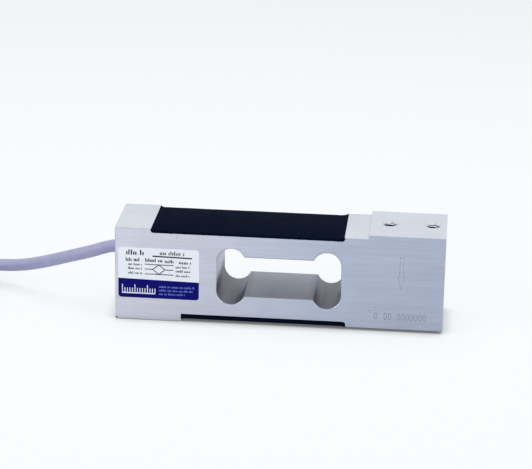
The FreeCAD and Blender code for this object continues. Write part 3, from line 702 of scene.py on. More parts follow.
def finishes() -> dict[str, Material]:
    """The finish of each material slot in the record.

    Returns:
        Materials by slot.
    """
    made = {
        "beam_aluminium": MilledAluminium().material(USE_MARKS),
        "gauge_foil": MouldedPlastic("polyimide_film", "#B9792C", 0.35).material(),
        "board_laminate": MouldedPlastic("solder_mask", "#1C5B33", 0.3).material(),
        "resistor_ceramic": MouldedPlastic("coated_ceramic", "#26262A", 0.35).material(),
        "copper_wire": DrawnMetal("enamelled_copper", "#B5622E", 0.25).material(),
        "potting_rubber": CastSilicone().material(),
        "label_film": MouldedPlastic("polyester_film", WHITE_FILM, 0.38, 0.6, 0.01).material(),
        "cable_jacket": ExtrudedPvc("grey_pvc_jacket", "#9C9DBD", "#5C5B68").material(),
        "tie_nylon": MouldedPlastic("moulded_nylon", "#1B1B1D", 0.42).material(),
        "sleeve_polyolefin": MouldedPlastic("shrunk_polyolefin", "#141416", 0.55, 0.5).material(),
        "tinned_copper": DrawnMetal("tinned_copper", "#C6C4BC", 0.32).material(),
    }
    made["seal_rubber"] = made["potting_rubber"]
    for core in CoreColor:
        if core is not CoreColor.SHIELD:
            slot = f"{core.name.lower()}_insulation"
            made[slot] = ExtrudedPvc(slot, core.value, "#5A5650", 0.35).material()
    return made


# ---- what is poured and cut


@dataclass
class SealingCompound:
    """Silicone poured into a recess right across the beam, with the skin that it cured with."""

    name: str
    node: str
    facing: Facing
    left: float  # end walls of the recess, along X
    right: float
    root: float  # floor of the recess, along Z
    depth: float  # floor of the recess to the beam's face
    edge_fill: float  # height of the fill at its open edges
    crest_fill: float  # and along its middle
    climb_left: float  # length over which it climbs each end wall
    climb_right: float
    half_width: float = 15.0
    corner: float = 1.0  # radius in the recess's corners
    creep: float = 0.3  # how far it creeps over the metal's edge at most
    ragged: tuple[Place, ...] = ((1.4, 1.0, 9.0), (0.5, 0.5, 5.0))  # length, share and seed of its waves
    proud: float = 0.04
    lip: float = 0.3  # radius of its upper edge
    step: float = 0.3  # mesh pitch along the beam
    steps_across: int = 24
    wave: float = 7.0  # length and height of the skin's shallow waves
    wave_height: float = 0.05

    def build(self, material: Material) -> None:
        """Build the compound in place of its CAD node.

        Args:
            material: its finish.
        """
        count = round((self.right - self.left) / self.step)
        rings = [self.ring(self.left + (self.right - self.left) * i / count) for i in range(count + 1)]
        add_piece(self.name, skin(self.name, [rings], sharp=60), material, (self.node,))

    def fill(self, x: float, y: float) -> float:
        """Height of the cured skin above the recess's floor.

        Args:
            x, y: a place along and across the beam.

        Returns:
            The height.
        """
        crown = self.edge_fill + (self.crest_fill - self.edge_fill) * (1 - (y / self.half_width) ** 2)
        from_left = max(0.0, 1 - (x - self.left) / self.climb_left)
        from_right = max(0.0, 1 - (self.right - x) / self.climb_right)
        climb = max(from_left, from_right) ** 2
        wave = self.wave_height * noise.noise(Vector((x / self.wave, y / self.wave, self.root)))
        return crown + (self.depth - crown) * climb + wave * (1 - climb)

    def ring(self, x: float) -> Ring:
        """The fill's section at one place along the beam.

        Args:
            x: the place.

        Returns:
            The section's points.
        """
        wall = min(x - self.left, self.right - x, self.corner)
        rise = self.corner - math.sqrt(self.corner ** 2 - (self.corner - wall) ** 2)
        side = self.half_width + self.proud
        edges = []
        for sign in (-1, 1):
            ragged = 0.5 + sum(share * noise.noise(Vector((x / length, sign * seed, self.root)))
                               for length, share, seed in self.ragged)
            foot = rise - self.creep * min(max(ragged, 0.1), 1.0)
            top = self.fill(x, sign * self.half_width)
            edges.append([(sign * (self.half_width - 0.01), rise + 0.01), (sign * side, foot),
                          (sign * side, top - self.lip),
                          (sign * (side - 0.3 * self.lip), top - 0.3 * self.lip)])
        front, back = edges
        inner = self.half_width - self.lip
        across = [-inner + 2 * inner * i / self.steps_across for i in range(self.steps_across + 1)]
        outline = front + [(y, self.fill(x, y)) for y in across] + back[::-1]
        return [Vector((x, y, self.root + self.facing.value * height)) for y, height in outline]


@dataclass
class TappedHoles:
    """The thread in a pair of tapped holes, as a ridge that winds down each wall."""

    name: str
    facing: Facing
    mouth: float  # along Z
    places: tuple[float, float]  # along X
    first: tuple[float, float] = (0.3, 0.45)  # depth at which each hole's thread starts
    last: float = 12.5  # and at which both end
    wall: float = 2.5  # radius of the drilled wall
    crest: float = 2.18  # radius inside the thread's crests
    bite: float = 0.08  # how far the ridge reaches into the wall
    countersink: float = 0.7  # depth of the mouth's countersink
    pitch: float = 1.0
    half_ridge: float = 0.24
    steps: int = 32  # per turn

    def build(self, material: Material) -> None:
        """Build the threads of both holes.

        Args:
            material: their finish.
        """
        ridges = [self.ridge(x, first) for x, first in zip(self.places, self.first)]
        add_piece(self.name, skin(self.name, ridges, sharp=50), material)

    def ridge(self, x: float, first: float) -> list[Ring]:
        """The ridge of one hole, as rings of its triangular section.

        Args:
            x: the hole's place along the beam.
            first: depth at which the thread starts.

        Returns:
            The rings.
        """
        up = UP * self.facing.value
        rings = []
        for i in range(round((self.last - first) / self.pitch * self.steps) + 1):
            turn = math.tau * i / self.steps * -self.facing.value
            out = Vector((math.cos(turn), math.sin(turn), 0))
            depth = first + self.pitch * i / self.steps
            height = (self.wall - self.crest) * min(1.0, i / self.steps)
            root = out * (self.wall + self.bite + max(0.0, self.countersink - depth))
            center = Vector((x, 0, self.mouth - self.facing.value * depth))
            rings.append([center + root + up * self.half_ridge, center + root - up * self.half_ridge,
                          center + out * (self.wall - height)])
        return rings


# ---- print and engraving


@dataclass
class RatingLabel:
    """White film, a navy band with a scale, a bridge diagram, and small print as plain strokes.

    Places on the label are measured from its lower left corner.
    """

    corner: float = 1.3
    edge: float = 0.03
    print_gap: float = 0.015  # print above film
    band_left: float = 8.05  # top of the navy band
    band_right: float = 7.5
    line: float = 0.34  # width of the diagram's lines
    arm_ends: tuple[float, float] = (10.6, 22.0)  # outer ends of the diagram's leads
    print_weight: float = 0.28  # width of a stroke of print, as a share of its height
    heading_weight: float = 0.26

    def __post_init__(self) -> None:
        """Take the label's place and size from the frame."""
        self.low, self.high = corners_mm("label")
        self.width = self.high.x - self.low.x

    def build(self, film: Material) -> None:
        """Build the film and its print in place of the CAD plate.

        Args:
            film: the film's finish.
        """
        low, high = self.low, self.high
        rings = []
        for y, inset in ((high.y, 0.0), (low.y + self.edge, 0.0), (low.y, self.edge)):
            outline = rounded(low.x + inset, low.z + inset, high.x - inset, high.z - inset,
                              (self.corner - inset,) * 4)
            rings.append([Vector((x, y, z)) for x, z in outline])
        add_piece("label_film", skin("label_film", [rings]), film, ("label",))
        black_print = self.heading() + self.diagram() + self.small_print()
        for name, outlines, ink, layer in (
            ("label_band", [self.band()], PrintedInk("navy_ink", NAVY, WHITE_FILM, 0.01), 1),
            ("label_diagram", black_print, PrintedInk("black_ink", "#101018", WHITE_FILM, 0.05), 1),
            ("label_scale", self.scale_mark(), PrintedInk("white_ink", "#EDEFF6", NAVY, 0.05), 2),
            ("label_notes", self.notes(), PrintedInk("pale_ink", "#6C80D0", NAVY, 0.1), 2),
        ):
            placed = [[(low.x + x, low.z + z) for x, z in outline] for outline in outlines]
            shapes = flat_shapes(name, placed, low.y - layer * self.print_gap)
            add_piece(name, shapes, ink.material())

    def band(self) -> Outline:
        """The navy band along the label's foot, with its sloping top.

        Returns:
            The outline.
        """
        inset, radius = self.edge, self.corner - self.edge
        outline = rounded(inset, inset, self.width - inset, self.band_right, (radius, radius, 0.0, 0.0))
        slope = (self.band_right - self.band_left) / self.width
        return [(x, z if z < self.corner + 1 else self.band_left + slope * x) for x, z in outline]

    def strokes(self, left: float, right: float, base: float, height: float, seed: int,
                weight: float) -> list[Outline]:
        """A line of print as upright strokes, in words, with no letters.

        Args:
            left, right: where the line starts and ends.
            base: its foot.
            height: its height.
            seed: which arrangement of strokes.
            weight: width of a stroke, as a share of the height.

        Returns:
            The outlines.
        """
        chance = random.Random(seed)
        outlines = []
        x = left
        word = chance.randint(4, 7)
        while x < right - weight * height:
            rise = chance.choice((0.62, 0.62, 0.7, 1.0))
            outlines.append(bar(x, base, x + weight * height, base + rise * height))
            x += height * chance.uniform(0.38, 0.48)
            word -= 1
            if word == 0:
                x += 0.45 * height
                word = chance.randint(3, 7)
        return outlines

    def printed(self, lines: list[tuple[float, float, float, float]], seed: int) -> list[Outline]:
        """Lines of small print.

        Args:
            lines: left end, right end, foot and height of each.
            seed: which arrangement of strokes the first has.

        Returns:
            The outlines.
        """
        return [outline for number, line in enumerate(lines, start=seed)
                for outline in self.strokes(*line, number, self.print_weight)]

    def heading(self) -> list[Outline]:
        """Two words of larger print, and the rule under the right one."""
        return ([stroke((13.7, 17.75), (29.4, 17.45), 0.55)]
                + self.strokes(3.2, 10.2, 18.0, 2.1, 1, self.heading_weight)
                + self.strokes(16.6, 26.6, 18.4, 1.6, 2, self.heading_weight))

    def diagram(self) -> list[Outline]:
        """A bridge of four arms: a diamond with three leads on each side.

        Returns:
            The outlines.
        """
        x, z, half_width, half_height = 16.2, 12.2, 2.45, 2.0
        left, foot, right, top = tips = [(x - half_width, z), (x, z - half_height),
                                         (x + half_width, z), (x, z + half_height)]
        start, end = self.arm_ends
        arms = [((start, top[1] + 0.1), top), ((start, z + 0.05), left), ((start, foot[1]), foot),
                (top, (end, top[1])), (right, (end, z)), (foot, (end, foot[1] - 0.05))]
        return closed_line(tips, self.line) + [stroke(*arm, self.line) for arm in arms]

    def small_print(self) -> list[Outline]:
        """The line under the heading, and the names of the six leads."""
        # left end, right end, foot and height of each
        lines = [(3.0, 9.0, 15.3, 1.5), (10.8, 17.6, 15.3, 1.5), (18.6, 22.6, 15.1, 1.4),
                 (24.2, 29.0, 14.9, 1.4)]
        for base in (13.4, 11.7, 9.8):
            lines += [(4.0, 9.6, base + 0.2, 1.0), (22.9, 28.7, base - 0.3, 1.0)]
        return self.printed(lines, 10)

    def notes(self) -> list[Outline]:
        """Three lines of small print on the band."""
        height = 0.95
        return self.printed([(16.3, 30.6, 4.6, height), (16.3, 30.0, 3.1, height),
                             (16.3, 26.6, 1.6, height)], 40)

    def scale_mark(self) -> list[Outline]:
        """A plain graduated scale along the band.

        Returns:
            The outlines.
        """
        left, right, foot, top = 1.5, 14.76, 1.75, 2.2
        pitch, count, width, short, tall = 1.0, 14, 0.34, 1.9, 3.3
        outlines = [bar(left, foot, right, top)]
        for tick in range(count):
            x = left + tick * pitch
            outlines.append(bar(x, top, x + width, top + (short if tick % 5 else tall)))
        return outlines


@dataclass
class FrontEngraving:
    """The load arrow and a row of plain zeros, engraved in the front of the load end."""

    face: float = -15.006  # along Y, just proud so that the line shows
    width: float = 0.13
    axis: float = 48.2  # arrow, along X
    top: float = 31.2
    shoulder: float = 23.3
    tip: float = 18.0
    half_shaft: float = 0.7
    half_head: float = 1.4
    # a bright strip beside the arrow's groove is a painted highlight
    highlight_shift: Point = (0.104, -0.0416)  # of the painted highlight from the groove
    highlight_lift: float = 0.002
    digit_base: float = 5.2
    digit_height: float = 2.6
    digit_width: float = 1.15
    digit_pitch: float = 1.68
    digit_steps: int = 14
    digit_groups: tuple[tuple[float, int], ...] = ((38.6, 1), (42.4, 2), (47.55, 7))

    def build(self) -> None:
        """Build the grooves as dark strips of painted shade, and a bright strip of painted highlight along
        one side of the arrow's groove.
        """
        # dark strips paint the shade in the grooves; bright strips paint a highlight on one edge of the
        # arrow's
        groove = DrawnMetal("engraved_groove", "#5A5D69", 0.6).material()
        highlight_metal = DrawnMetal("engraved_highlight", "#E4E8EE", 0.35).material()
        aside, up = self.highlight_shift
        bright = [[(x + aside, z + up) for x, z in outline] for outline in self.arrow()]
        for name, lines, y, metal in (("engraved_lines", self.arrow() + self.zeros(), self.face, groove),
                                      ("engraved_highlights", bright, self.face + self.highlight_lift, highlight_metal)):
            add_piece(name, flat_shapes(name, lines, y), metal)

    def arrow(self) -> list[Outline]:
        """The outline of an arrow that points down.

        Returns:
            Its strokes.
        """
        left, right = self.axis - self.half_shaft, self.axis + self.half_shaft
        path = [(left, self.top), (right, self.top), (right, self.shoulder),
                (self.axis + self.half_head, self.shoulder), (self.axis, self.tip),
                (self.axis - self.half_head, self.shoulder), (left, self.shoulder)]
        return closed_line(path, self.width)

    def zeros(self) -> list[Outline]:
        """Rows of narrow zeros.

        Returns:
            Their strokes.
        """
        half_width, half_height = self.digit_width / 2, self.digit_height / 2
        turns = [math.tau * step / self.digit_steps for step in range(self.digit_steps)]
        oval = [(half_width * math.cos(turn), half_height * (1 + math.sin(turn))) for turn in turns]
        outlines = []
        for start, count in self.digit_groups:
            for number in range(count):
                left = start + number * self.digit_pitch
                outlines += closed_line([(left + x, self.digit_base + z) for x, z in oval], self.width)
        return outlines


# ---- the cable and what is on it


def arc(start: Vector, heading: Vector, radius: float, turned: float,
        count: int) -> tuple[list[Vector], Vector, Vector]:
    """Control points that hold a cord to a level arc to its left.

    Args:
        start: where the arc starts.
        heading: direction of the cord there.
        radius: the arc's radius.
        turned: degrees that it turns.
        count: control points along it, besides one at each end.

    Returns:
        The points, the arc's end, and the direction of the cord there.
    """
    center = start + Vector((-heading.y, heading.x, 0)) * radius
    step = math.radians(turned) / count
    outside = (start - center) / math.cos(step / 2)
    edge = radius * math.tan(step / 2)
    whole = Matrix.Rotation(math.radians(turned), 3, "Z")
    end, onward = center + whole @ (start - center), whole @ heading
    points = [center + Matrix.Rotation((i + 0.5) * step, 3, "Z") @ outside for i in range(count)]
    return [start - heading * edge] + points + [end + onward * edge], end, onward


@dataclass
class CableRoute:
    """Where the signal cable runs: down from the beam, round a coil, and out along a tail."""

    free: tuple[Place, ...] = (
        (-65.0, 0.0, 25.5), (-68.5, 0.0, 25.5), (-77.0, 0.7, 22.2), (-87.0, 3.3, 18.6),
        (-97.5, 8.2, 14.0), (-107.5, 13.4, 10.2), (-117.5, 17.6, 8.1), (-127.5, 19.0, 8.1),
    )
    coil_radius: float = 22.0
    coil_lead: float = 17.0
    coil_turned: float = 650.0  # degrees
    upper_turn: float = 8.1
    lower_turn: float = 3.1
    descent: tuple[float, float] = (306.0, 360.0)  # degrees where the upper turn comes down
    points_per_turn: int = 18
    tail_lead: float = 24.0
    tail_turn: float = 78.0  # degrees
    tail_run: float = 24.0
    tail_bend: float = 13.3
    tail_steps: int = 5

    def __post_init__(self) -> None:
        """Work out the control points, in order from the beam, and the places that other pieces need."""
        start = Vector(self.free[-1])
        heading = (start - Vector(self.free[-2])).normalized()
        touch = start + heading * self.coil_lead
        self.center = touch + Vector((-heading.y, heading.x, 0)) * self.coil_radius
        count = round(self.coil_turned / 360 * self.points_per_turn)
        coil, leave, away = arc(touch, heading, self.coil_radius, self.coil_turned, count)
        for i, point in enumerate(coil):
            point.z = self.height((i - 0.5) * self.coil_turned / count)
        leave.z = self.height(self.coil_turned)
        corner = leave + away * self.tail_lead
        tangent = self.tail_bend * math.tan(math.radians(self.tail_turn) / 2)
        bend, _, self.onward = arc(corner - away * tangent, away, self.tail_bend, self.tail_turn,
                                   self.tail_steps)
        self.across = Vector((-self.onward.y, self.onward.x, 0))
        self.end = corner + self.onward * self.tail_run
        self.points = [Vector(point) for point in self.free] + coil + bend + [self.end]

    def height(self, turned: float) -> float:
        """Height of the cable's middle in the coil.

        Args:
            turned: degrees that it has turned so far.

        Returns:
            The height above the table.
        """
        first, last = self.descent
        share = min(max((turned - first) / (last - first), 0.0), 1.0)
        eased = 2 * share ** 2 if share < 0.5 else 1 - 2 * (1 - share) ** 2
        return self.upper_turn + (self.lower_turn - self.upper_turn) * eased


@dataclass
class CoilTie:
    """A nylon tie round both turns of the coil, with its head and its cut tail."""

    route: CableRoute
    cable_radius: float
    gap: float = 0.05
    thickness: float = 0.6
    half_width: float = 2.0
    bevel: Point = (0.15, 0.12)  # of the band's outer edges, across and off it
    segments: int = 48
    half_head: float = 2.25
    head_sections: tuple[Point, ...] = ((2.8, -0.3), (3.0, 0.0), (6.2, 0.0), (6.6, -0.35))  # out, growth
    tail_foot: Point = (4.6, 1.8)  # outwards, and above the head's middle
    tail_half: Point = (1.75, 0.5)  # half its width and thickness
    tail_steps: int = 9
    tail_step: float = 0.55
    tail_lean: float = 0.06
    tail_rib: float = 0.08

    def build(self, material: Material) -> Object:
        """Build the tie in place of its CAD node.

        Args:
            material: its finish.

        Returns:
            The piece.
        """
        route = self.route
        self.middle = Vector((route.center.x, route.center.y - route.coil_radius, 0))
        self.level = (route.upper_turn + route.lower_turn) / 2
        mesh = skin("coil_tie_strap", [self.strap()], wrap=True)
        block = skin("coil_tie_head", [self.head(), self.tail()])
        joined = bmesh.new()
        joined.from_mesh(mesh)
        joined.from_mesh(block)
        joined.to_mesh(mesh)
        joined.free()
        bpy.data.meshes.remove(block)
        return add_piece("coil_tie_strap", mesh, material, ("coil_tie",))

    def strap(self) -> list[Ring]:
        """The band round the turns.

        Returns:
            Its sections.
        """
        inner, outer = self.cable_radius + self.gap, self.cable_radius + self.thickness
        half, corner, edge = self.half_width, self.half_width - self.bevel[0], outer - self.bevel[1]
        section = [(-half, inner), (-half, edge), (-corner, outer), (corner, outer), (half, edge),
                   (half, inner)]
        rings = []
        for i in range(self.segments):
            out = spoke(Vector((0, 1, 0)), UP, math.tau * (i + 0.5) / self.segments)
            turn = self.route.upper_turn if out.z > 0 else self.route.lower_turn
            base = self.middle + UP * turn
            rings.append([base + out * radius + Vector((side, 0, 0)) for side, radius in section])
        return rings

    def head(self) -> list[Ring]:
        """The block that locks the band.

        Returns:
            Its sections.
        """
        rings = []
        for out, growth in self.head_sections:
            half = self.half_head + growth
            outline = rounded(self.middle.x - half, self.level - half, self.middle.x + half,
                              self.level + half, (0.5,) * 4, 4)
            rings.append([Vector((x, self.middle.y + out, z)) for x, z in outline])
        return rings

    def tail(self) -> list[Ring]:
        """The cut end of the band, ribbed and leaning outwards.

        Returns:
            Its sections.
        """
        rings = []
        out, up = self.tail_foot
        side, depth = self.tail_half
        for i in range(self.tail_steps):
            z = self.level + up + i * self.tail_step
            lean = self.middle.y + out + self.tail_lean * i ** 1.6
            ribbed = -depth - self.tail_rib * (i % 2)
            rings.append([Vector((self.middle.x + x, lean + y, z))
                          for x, y in ((-side, ribbed), (side, ribbed), (side, depth), (-side, depth))])
        return rings


@dataclass
class ShrunkSleeve:
    """The heat-shrink sleeve, drawn in round the cores past the jacket's end."""

    route: CableRoute
    largest: float
    outside: tuple[Point, ...] = (  # place past the jacket's end, radius
        (-7.0, 2.95), (-6.7, 3.08), (-3.0, 3.05), (-0.6, 3.04), (0.4, 2.92), (1.4, 2.6), (2.6, 2.3),
        (4.2, 2.16), (5.8, 2.12), (6.0, 2.02),
    )
    inside: tuple[Point, ...] = ((6.0, 1.64), (5.0, 1.6), (0.2, 1.6), (0.0, 2.52), (-7.0, 2.52))
    outer: float = 1.9  # radius past which a section is on its outside
    drawn: Point = (1.0, 4.0)  # where it starts to be drawn in, and where it is full
    lobe: float = 0.14  # height of the bulge over each core
    ripple: Point = (1.5, 0.04)  # length and height
    steps: int = 40

    def build(self, material: Material) -> Object:
        """Build the sleeve in place of its CAD node.

        Args:
            material: its finish.

        Returns:
            The piece.
        """
        rings = [self.ring(along, radius) for along, radius in self.outside + self.inside]
        return add_piece("shrunk_sleeve", skin("shrunk_sleeve", [rings], wrap=True), material,
                         ("end_sleeve",))

    def ring(self, along: float, radius: float) -> Ring:
        """One section, with a lobe over each core where the sleeve is drawn in.

        Args:
            along: its place past the jacket's end.
            radius: its radius.

        Returns:
            Its points.
        """
        first, last = self.drawn
        length, height = self.ripple
        drawn = max(0.0, min(1.0, (along - first) / (last - first))) if radius > self.outer else 0.0
        middle = self.route.end + self.route.onward * along
        points = []
        for i in range(self.steps):
            angle = math.tau * i / self.steps
            lobed = radius + self.lobe * drawn * math.cos(len(CoreColor) * (angle - math.pi / 2))
            lobed += height * noise.noise(Vector((along / length, math.cos(angle), math.sin(angle))))
            points.append(middle + spoke(self.route.across, UP, angle) * min(lobed, self.largest))
        return points


@dataclass
class StrippedTips:
    """The stripped, tinned strands at the end of each core."""

    route: CableRoute
    level: float = 0.55  # height of the cores' middles on the table
    landing: Point = (13.0, 4.5)  # where a core lands: past the jacket's end, and aside at most
    end: Point = (26.0, 4.7)  # where its insulation ends
    length: float = 5.2
    hidden: float = 0.2  # inside the insulation
    strand_radius: float = 0.12
    lay_radius: float = 0.235  # strands' middles from the core's
    lay_turns: float = 1.4
    spread: float = 0.15  # how much wider the strands end than they start
    sections: int = 18

    def build(self, material: Material) -> Object:
        """Build the strands in place of their CAD node.

        Args:
            material: their finish.

        Returns:
            The piece.
        """
        route = self.route
        floor = Vector((route.end.x, route.end.y, self.level))
        lofts = []
        for number, _ in enumerate(CoreColor):
            side = math.cos(math.tau * number / len(CoreColor) + math.pi / 2)
            landing, end = [floor + route.onward * along + route.across * side * aside
                            for along, aside in (self.landing, self.end)]
            lofts += self.strands(end, (end - landing).normalized())
        return add_piece("stripped_tips", skin("stripped_tips", lofts), material,
                         ("lead_tips",))

    def strands(self, start: Vector, along: Vector) -> list[list[Ring]]:
        """Seven twisted strands from a point: six round a straight one.

        Args:
            start: where they leave the insulation.
            along: the direction that they point in.

        Returns:
            One loft for each strand.
        """
        aside = Vector((-along.y, along.x, 0)).normalized()
        up = along.cross(aside)
        lofts = []
        for strand in range(7):
            reach = 0.0 if strand == 6 else self.lay_radius
            rings = []
            for i in range(self.sections + 1):
                share = i / self.sections
                out = spoke(aside, up, math.tau * (strand / 6 + self.lay_turns * share))
                middle = (start + along * (self.length * share - self.hidden)
                          + out * reach * (1 + self.spread * share))
                rings.append([middle + spoke(aside, up, math.tau * j / 6) * self.strand_radius
                              for j in range(6)])
            lofts.append(rings)
        return lofts


@dataclass
class SignalCable:
    """The grey cable from the beam to the sleeve on its end, and its tie."""

    route: CableRoute
    diameter: float = 5.0
    length: float = 380.0
    bead: tuple[Point, ...] = (  # radius, height off the beam
        (2.48, 0.0), (2.5, 0.75), (2.62, 0.6), (2.82, 0.36), (3.15, 0.17), (3.6, 0.05), (3.75, 0.0),
    )
    bead_segments: int = 48
    bead_uneven: Point = (1.7, 0.12)  # how often it goes thick and thin, and by what share

    def build(self, materials: dict[str, Material]) -> None:
        """Build the cable and everything on it.

        Args:
            materials: finishes by slot.
        """
        curve = bpy.data.curves.new("signal_cable", "CURVE")
        curve.dimensions = "3D"
        spline = curve.splines.new("NURBS")
        points = self.route.points
        spline.points.add(len(points) - 1)
        for place, point in zip(spline.points, points):
            place.co = (*(point * MM), 1.0)
        spline.order_u = 3
        spline.use_endpoint_u = True
        spline.resolution_u = 10
        radius = self.diameter / 2
        curve.bevel_depth = radius * MM
        curve.bevel_resolution = 8
        curve.use_fill_caps = True
        cable = add_piece("signal_cable", curve, materials["cable_jacket"],
                          ("cable", "cable_coil"))
        tie = CoilTie(self.route, radius)
        on_it = [
            tie.build(materials["tie_nylon"]),
            ShrunkSleeve(self.route, radius + tie.thickness).build(materials["sleeve_polyolefin"]),
            StrippedTips(self.route).build(materials["tinned_copper"]),
        ]
        on_it += [frame["nodes"][f"lead_{core.name.lower()}"] for core in CoreColor]

    def seal_bead(self, material: Material) -> None:
        """The bead of compound where the cable enters the beam.

        Args:
            material: its finish.
        """
        mouth, inner = Vector(self.route.free[0]), self.bead[0][0]
        often, share = self.bead_uneven
        rings = []
        for i in range(self.bead_segments):
            out = spoke(Vector((0, 1, 0)), UP, math.tau * i / self.bead_segments)
            uneven = 1 + share * noise.noise(out * often)
            rings.append([mouth + out * (inner + (radius - inner) * uneven) - Vector((height * uneven, 0, 0))
                          for radius, height in self.bead])
        add_piece("cable_seal_bead", skin("cable_seal_bead", [rings], wrap=True), material)


# ---- the studio


@dataclass
class Studio:
    """A pale table, soft lamps and the camera."""

    aim: Place = (-6.62, 0.0, 33.02)  # where the camera looks
    distance: float = 882.9
    azimuth: float = 4.97  # degrees that the camera stands to the right of square on
    elevation: float = 19.144
    roll: float = 1.046
    focal_length: float = 150.18  # on a 36 mm wide sensor
    sensor_width: float = 36.0
    table_color: str = "#E8EEF5"
    table_size: float = 3000.0  # from its middle to each side
    table_drop: float = 0.04  # below the object, so that the two don't coincide
    contact_shade_reach: float = 9.0  # how near a piece is when it dims the table with painted contact shade
    contact_shade_ramp: Ramp = (0.1, 0.8, 0.15, 1.0)  # the glow, from painted contact shade in a crowded place to none in an open one
    gloss_across: Ramp = (-70.0, 60.0, 1.15, 0.8)  # the glow for gloss, along X
    gloss_toward: Ramp = (-110.0, -20.0, 1.0, 0.85)  # and along Y
    glow_far: Ramp = (150.0, 800.0, 1.0, 0.92)  # the glow to the eye, along Y
    white: str = "#FDFEFE"
    plain_share: float = 0.74  # share of the table's look that is plain white
    sky_strength: float = 0.45

    def build(self) -> None:
        """Set up the camera, the table, the surroundings and the lamps."""
        self.camera()
        self.table()
        self.surroundings()
        self.lamp("top_softbox", (60, 120, 900), (0.9, 0.7), 5.0, "#FFFFFF")
        self.lamp("left_softbox", (-900, -650, 650), (0.8, 0.8), 5.0, "#FFFFFF")
        self.lamp("right_softbox", (850, -500, 500), (0.5, 0.7), 1.5, "#F1F5FF")
        bpy.context.scene.view_settings.view_transform = "Standard"

    def camera(self) -> None:
        """The camera, aimed by its angles round the object."""
        data = bpy.data.cameras.new("camera")
        data.sensor_width = self.sensor_width
        data.lens = self.focal_length
        data.clip_start = 0.01
        data.clip_end = 20.0
        camera = add_object("camera", data)
        azimuth, elevation = math.radians(self.azimuth), math.radians(self.elevation)
        level = spoke(Vector((0, -1, 0)), Vector((1, 0, 0)), azimuth)
        back = spoke(level, UP, elevation)
        camera.location = (Vector(self.aim) + back * self.distance) * MM
        rolled = Matrix.Rotation(math.radians(self.roll), 3, "Z")
        camera.rotation_euler = ((-back).to_track_quat("-Z", "Y").to_matrix() @ rolled).to_euler()
        bpy.context.scene.camera = camera

    def table(self) -> None:
        """A wide table: plain white to the eye and to gloss, but for the shadows on it."""
        size, below = self.table_size * MM, -self.table_drop * MM
        mesh = bpy.data.meshes.new("table")
        mesh.from_pydata([(-size, -size, below), (size, -size, below), (size, size, below),
                          (-size, size, below)], [], [(0, 1, 2, 3)])
        add_object("table", mesh)
        surface = Surface("white_table")
        for name, value in (("Base Color", linear(self.table_color)), ("Roughness", 0.9),
                            ("Specular IOR Level", 0.0)):
            surface.shader.inputs[name].default_value = value
        # painted contact shade: the table's glow dims close to the pieces
        contact_shade_node = add_node(surface.tree, "ShaderNodeAmbientOcclusion",
                           {"Distance": self.contact_shade_reach * MM}, samples=8)
        contact_shade_factor = surface.remap(contact_shade_node.outputs["AO"], *self.contact_shade_ramp)
        strength = surface.math("MULTIPLY", contact_shade_factor, self.falloff(surface))
        glow = add_node(surface.tree, "ShaderNodeEmission",
                        {"Color": linear(self.white), "Strength": strength}).outputs[0]
        share = surface.math("MULTIPLY", self.seen(surface), self.plain_share)
        mixed = add_node(surface.tree, "ShaderNodeMixShader",
                         {0: share, 1: surface.shader.outputs[0], 2: glow}).outputs[0]
        surface.tree.links.new(mixed, surface.tree.nodes["Material Output"].inputs["Surface"])
        mesh.materials.append(surface.material)

    def falloff(self, surface: Surface) -> Socket:
        """How bright the table glows: less far back, and for gloss less on the right and near the object.

        Args:
            surface: the table's finish so far.

        Returns:
            The factor.
        """
        x, y, _ = surface.axes(surface.place)
        across, toward = surface.ramp(x, self.gloss_across), surface.ramp(y, self.gloss_toward)
        gloss = add_node(surface.tree, "ShaderNodeLightPath", {}).outputs["Is Glossy Ray"]
        near = surface.math("MULTIPLY", across, toward)
        return surface.number(gloss, surface.ramp(y, self.glow_far), near)

    def seen(self, wiring: Wiring) -> Socket:
        """1 for rays from the eye, from gloss and through clear pieces, and 0 for others.

        Args:
            wiring: the node tree.

        Returns:
            The share.
        """
        path = add_node(wiring.tree, "ShaderNodeLightPath", {}).outputs
        total = wiring.math("MAXIMUM", path["Is Camera Ray"], path["Is Glossy Ray"])
        return wiring.math("MAXIMUM", total, path["Is Transmission Ray"])

    def surroundings(self) -> None:
        """A pale room that is white to the eye and gives an even, soft light."""
        world = bpy.context.scene.world or bpy.data.worlds.new("world")
        bpy.context.scene.world = world
        world.use_nodes = True
        world.node_tree.nodes.clear()
        wiring = Wiring(world.node_tree)
        strength = wiring.remap(self.seen(wiring), 0.0, 1.0, self.sky_strength, 1.0)
        back = add_node(wiring.tree, "ShaderNodeBackground",
                        {"Color": linear(self.white), "Strength": strength})
        add_node(wiring.tree, "ShaderNodeOutputWorld", {"Surface": back.outputs[0]})

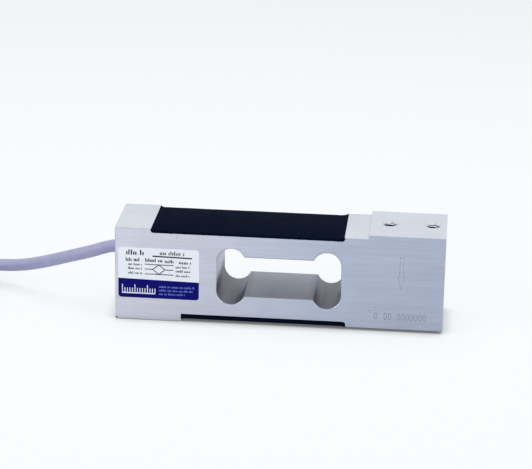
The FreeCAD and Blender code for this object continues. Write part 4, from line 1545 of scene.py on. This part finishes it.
    def lamp(self, name: str, place: Place, size: Point, power: float, color: str) -> None:
        """A soft rectangular lamp aimed at the object.

        Args:
            name: the lamp's name.
            place: where it hangs.
            size: its width and height, in metres.
            power: its power, in watts.
            color: its colour, as sRGB hex.
        """
        data = bpy.data.lights.new(name, "AREA")
        data.shape = "RECTANGLE"
        data.size, data.size_y = size
        data.energy = power
        data.color = linear(color)[:3]
        lamp = add_object(name, data)
        lamp.location = Vector(place) * MM
        lamp.rotation_euler = (Vector(self.aim) * MM - lamp.location).to_track_quat("-Z", "Y").to_euler()


# ---- assembly


def dress_frame(materials: dict[str, Material]) -> None:
    """Give each CAD node the finish of its material slot.

    Args:
        materials: finishes by slot.
    """
    slots = {part["node"]: part["material_slot"] for part in frame["record"]["subparts"]}
    for node, piece in frame["nodes"].items():
        for slot in piece.material_slots:
            slot.material = materials[slots[node]]
        log.info("dressed %s in %s", node, slots[node])


def main() -> None:
    """Build the studio, the cable, and then each piece of the load cell."""
    logging.basicConfig(level=logging.INFO, format="%(message)s")
    Studio().build()
    materials = finishes()
    dress_frame(materials)
    cable = SignalCable(CableRoute())
    cable.build(materials)
    cable.seal_bead(materials["seal_rubber"])
    compounds = (
        SealingCompound("top_compound", "top_potting", Facing.UP, left=-50.7, right=25.5, root=36.95,
                        depth=1.45, edge_fill=0.7, crest_fill=1.4, climb_left=1.3, climb_right=3.2),
        SealingCompound("bottom_compound", "bottom_potting", Facing.DOWN, left=-38.5, right=26.5,
                        root=3.05, depth=2.05, edge_fill=1.76, crest_fill=1.8, climb_left=1.5,
                        climb_right=1.5, creep=0.15),
    )
    for compound in compounds:
        compound.build(materials["potting_rubber"])
    cut_metal = DrawnMetal("cut_aluminium", "#A6A8AE", 0.28).material()
    TappedHoles("load_pad_threads", Facing.UP, mouth=40.0, places=HOLES_UP).build(cut_metal)
    TappedHoles("fixed_pad_threads", Facing.DOWN, mouth=0.0, places=HOLES_DOWN).build(cut_metal)
    RatingLabel().build(materials["label_film"])
    FrontEngraving().build()


if __name__ == "__main__":
    main()
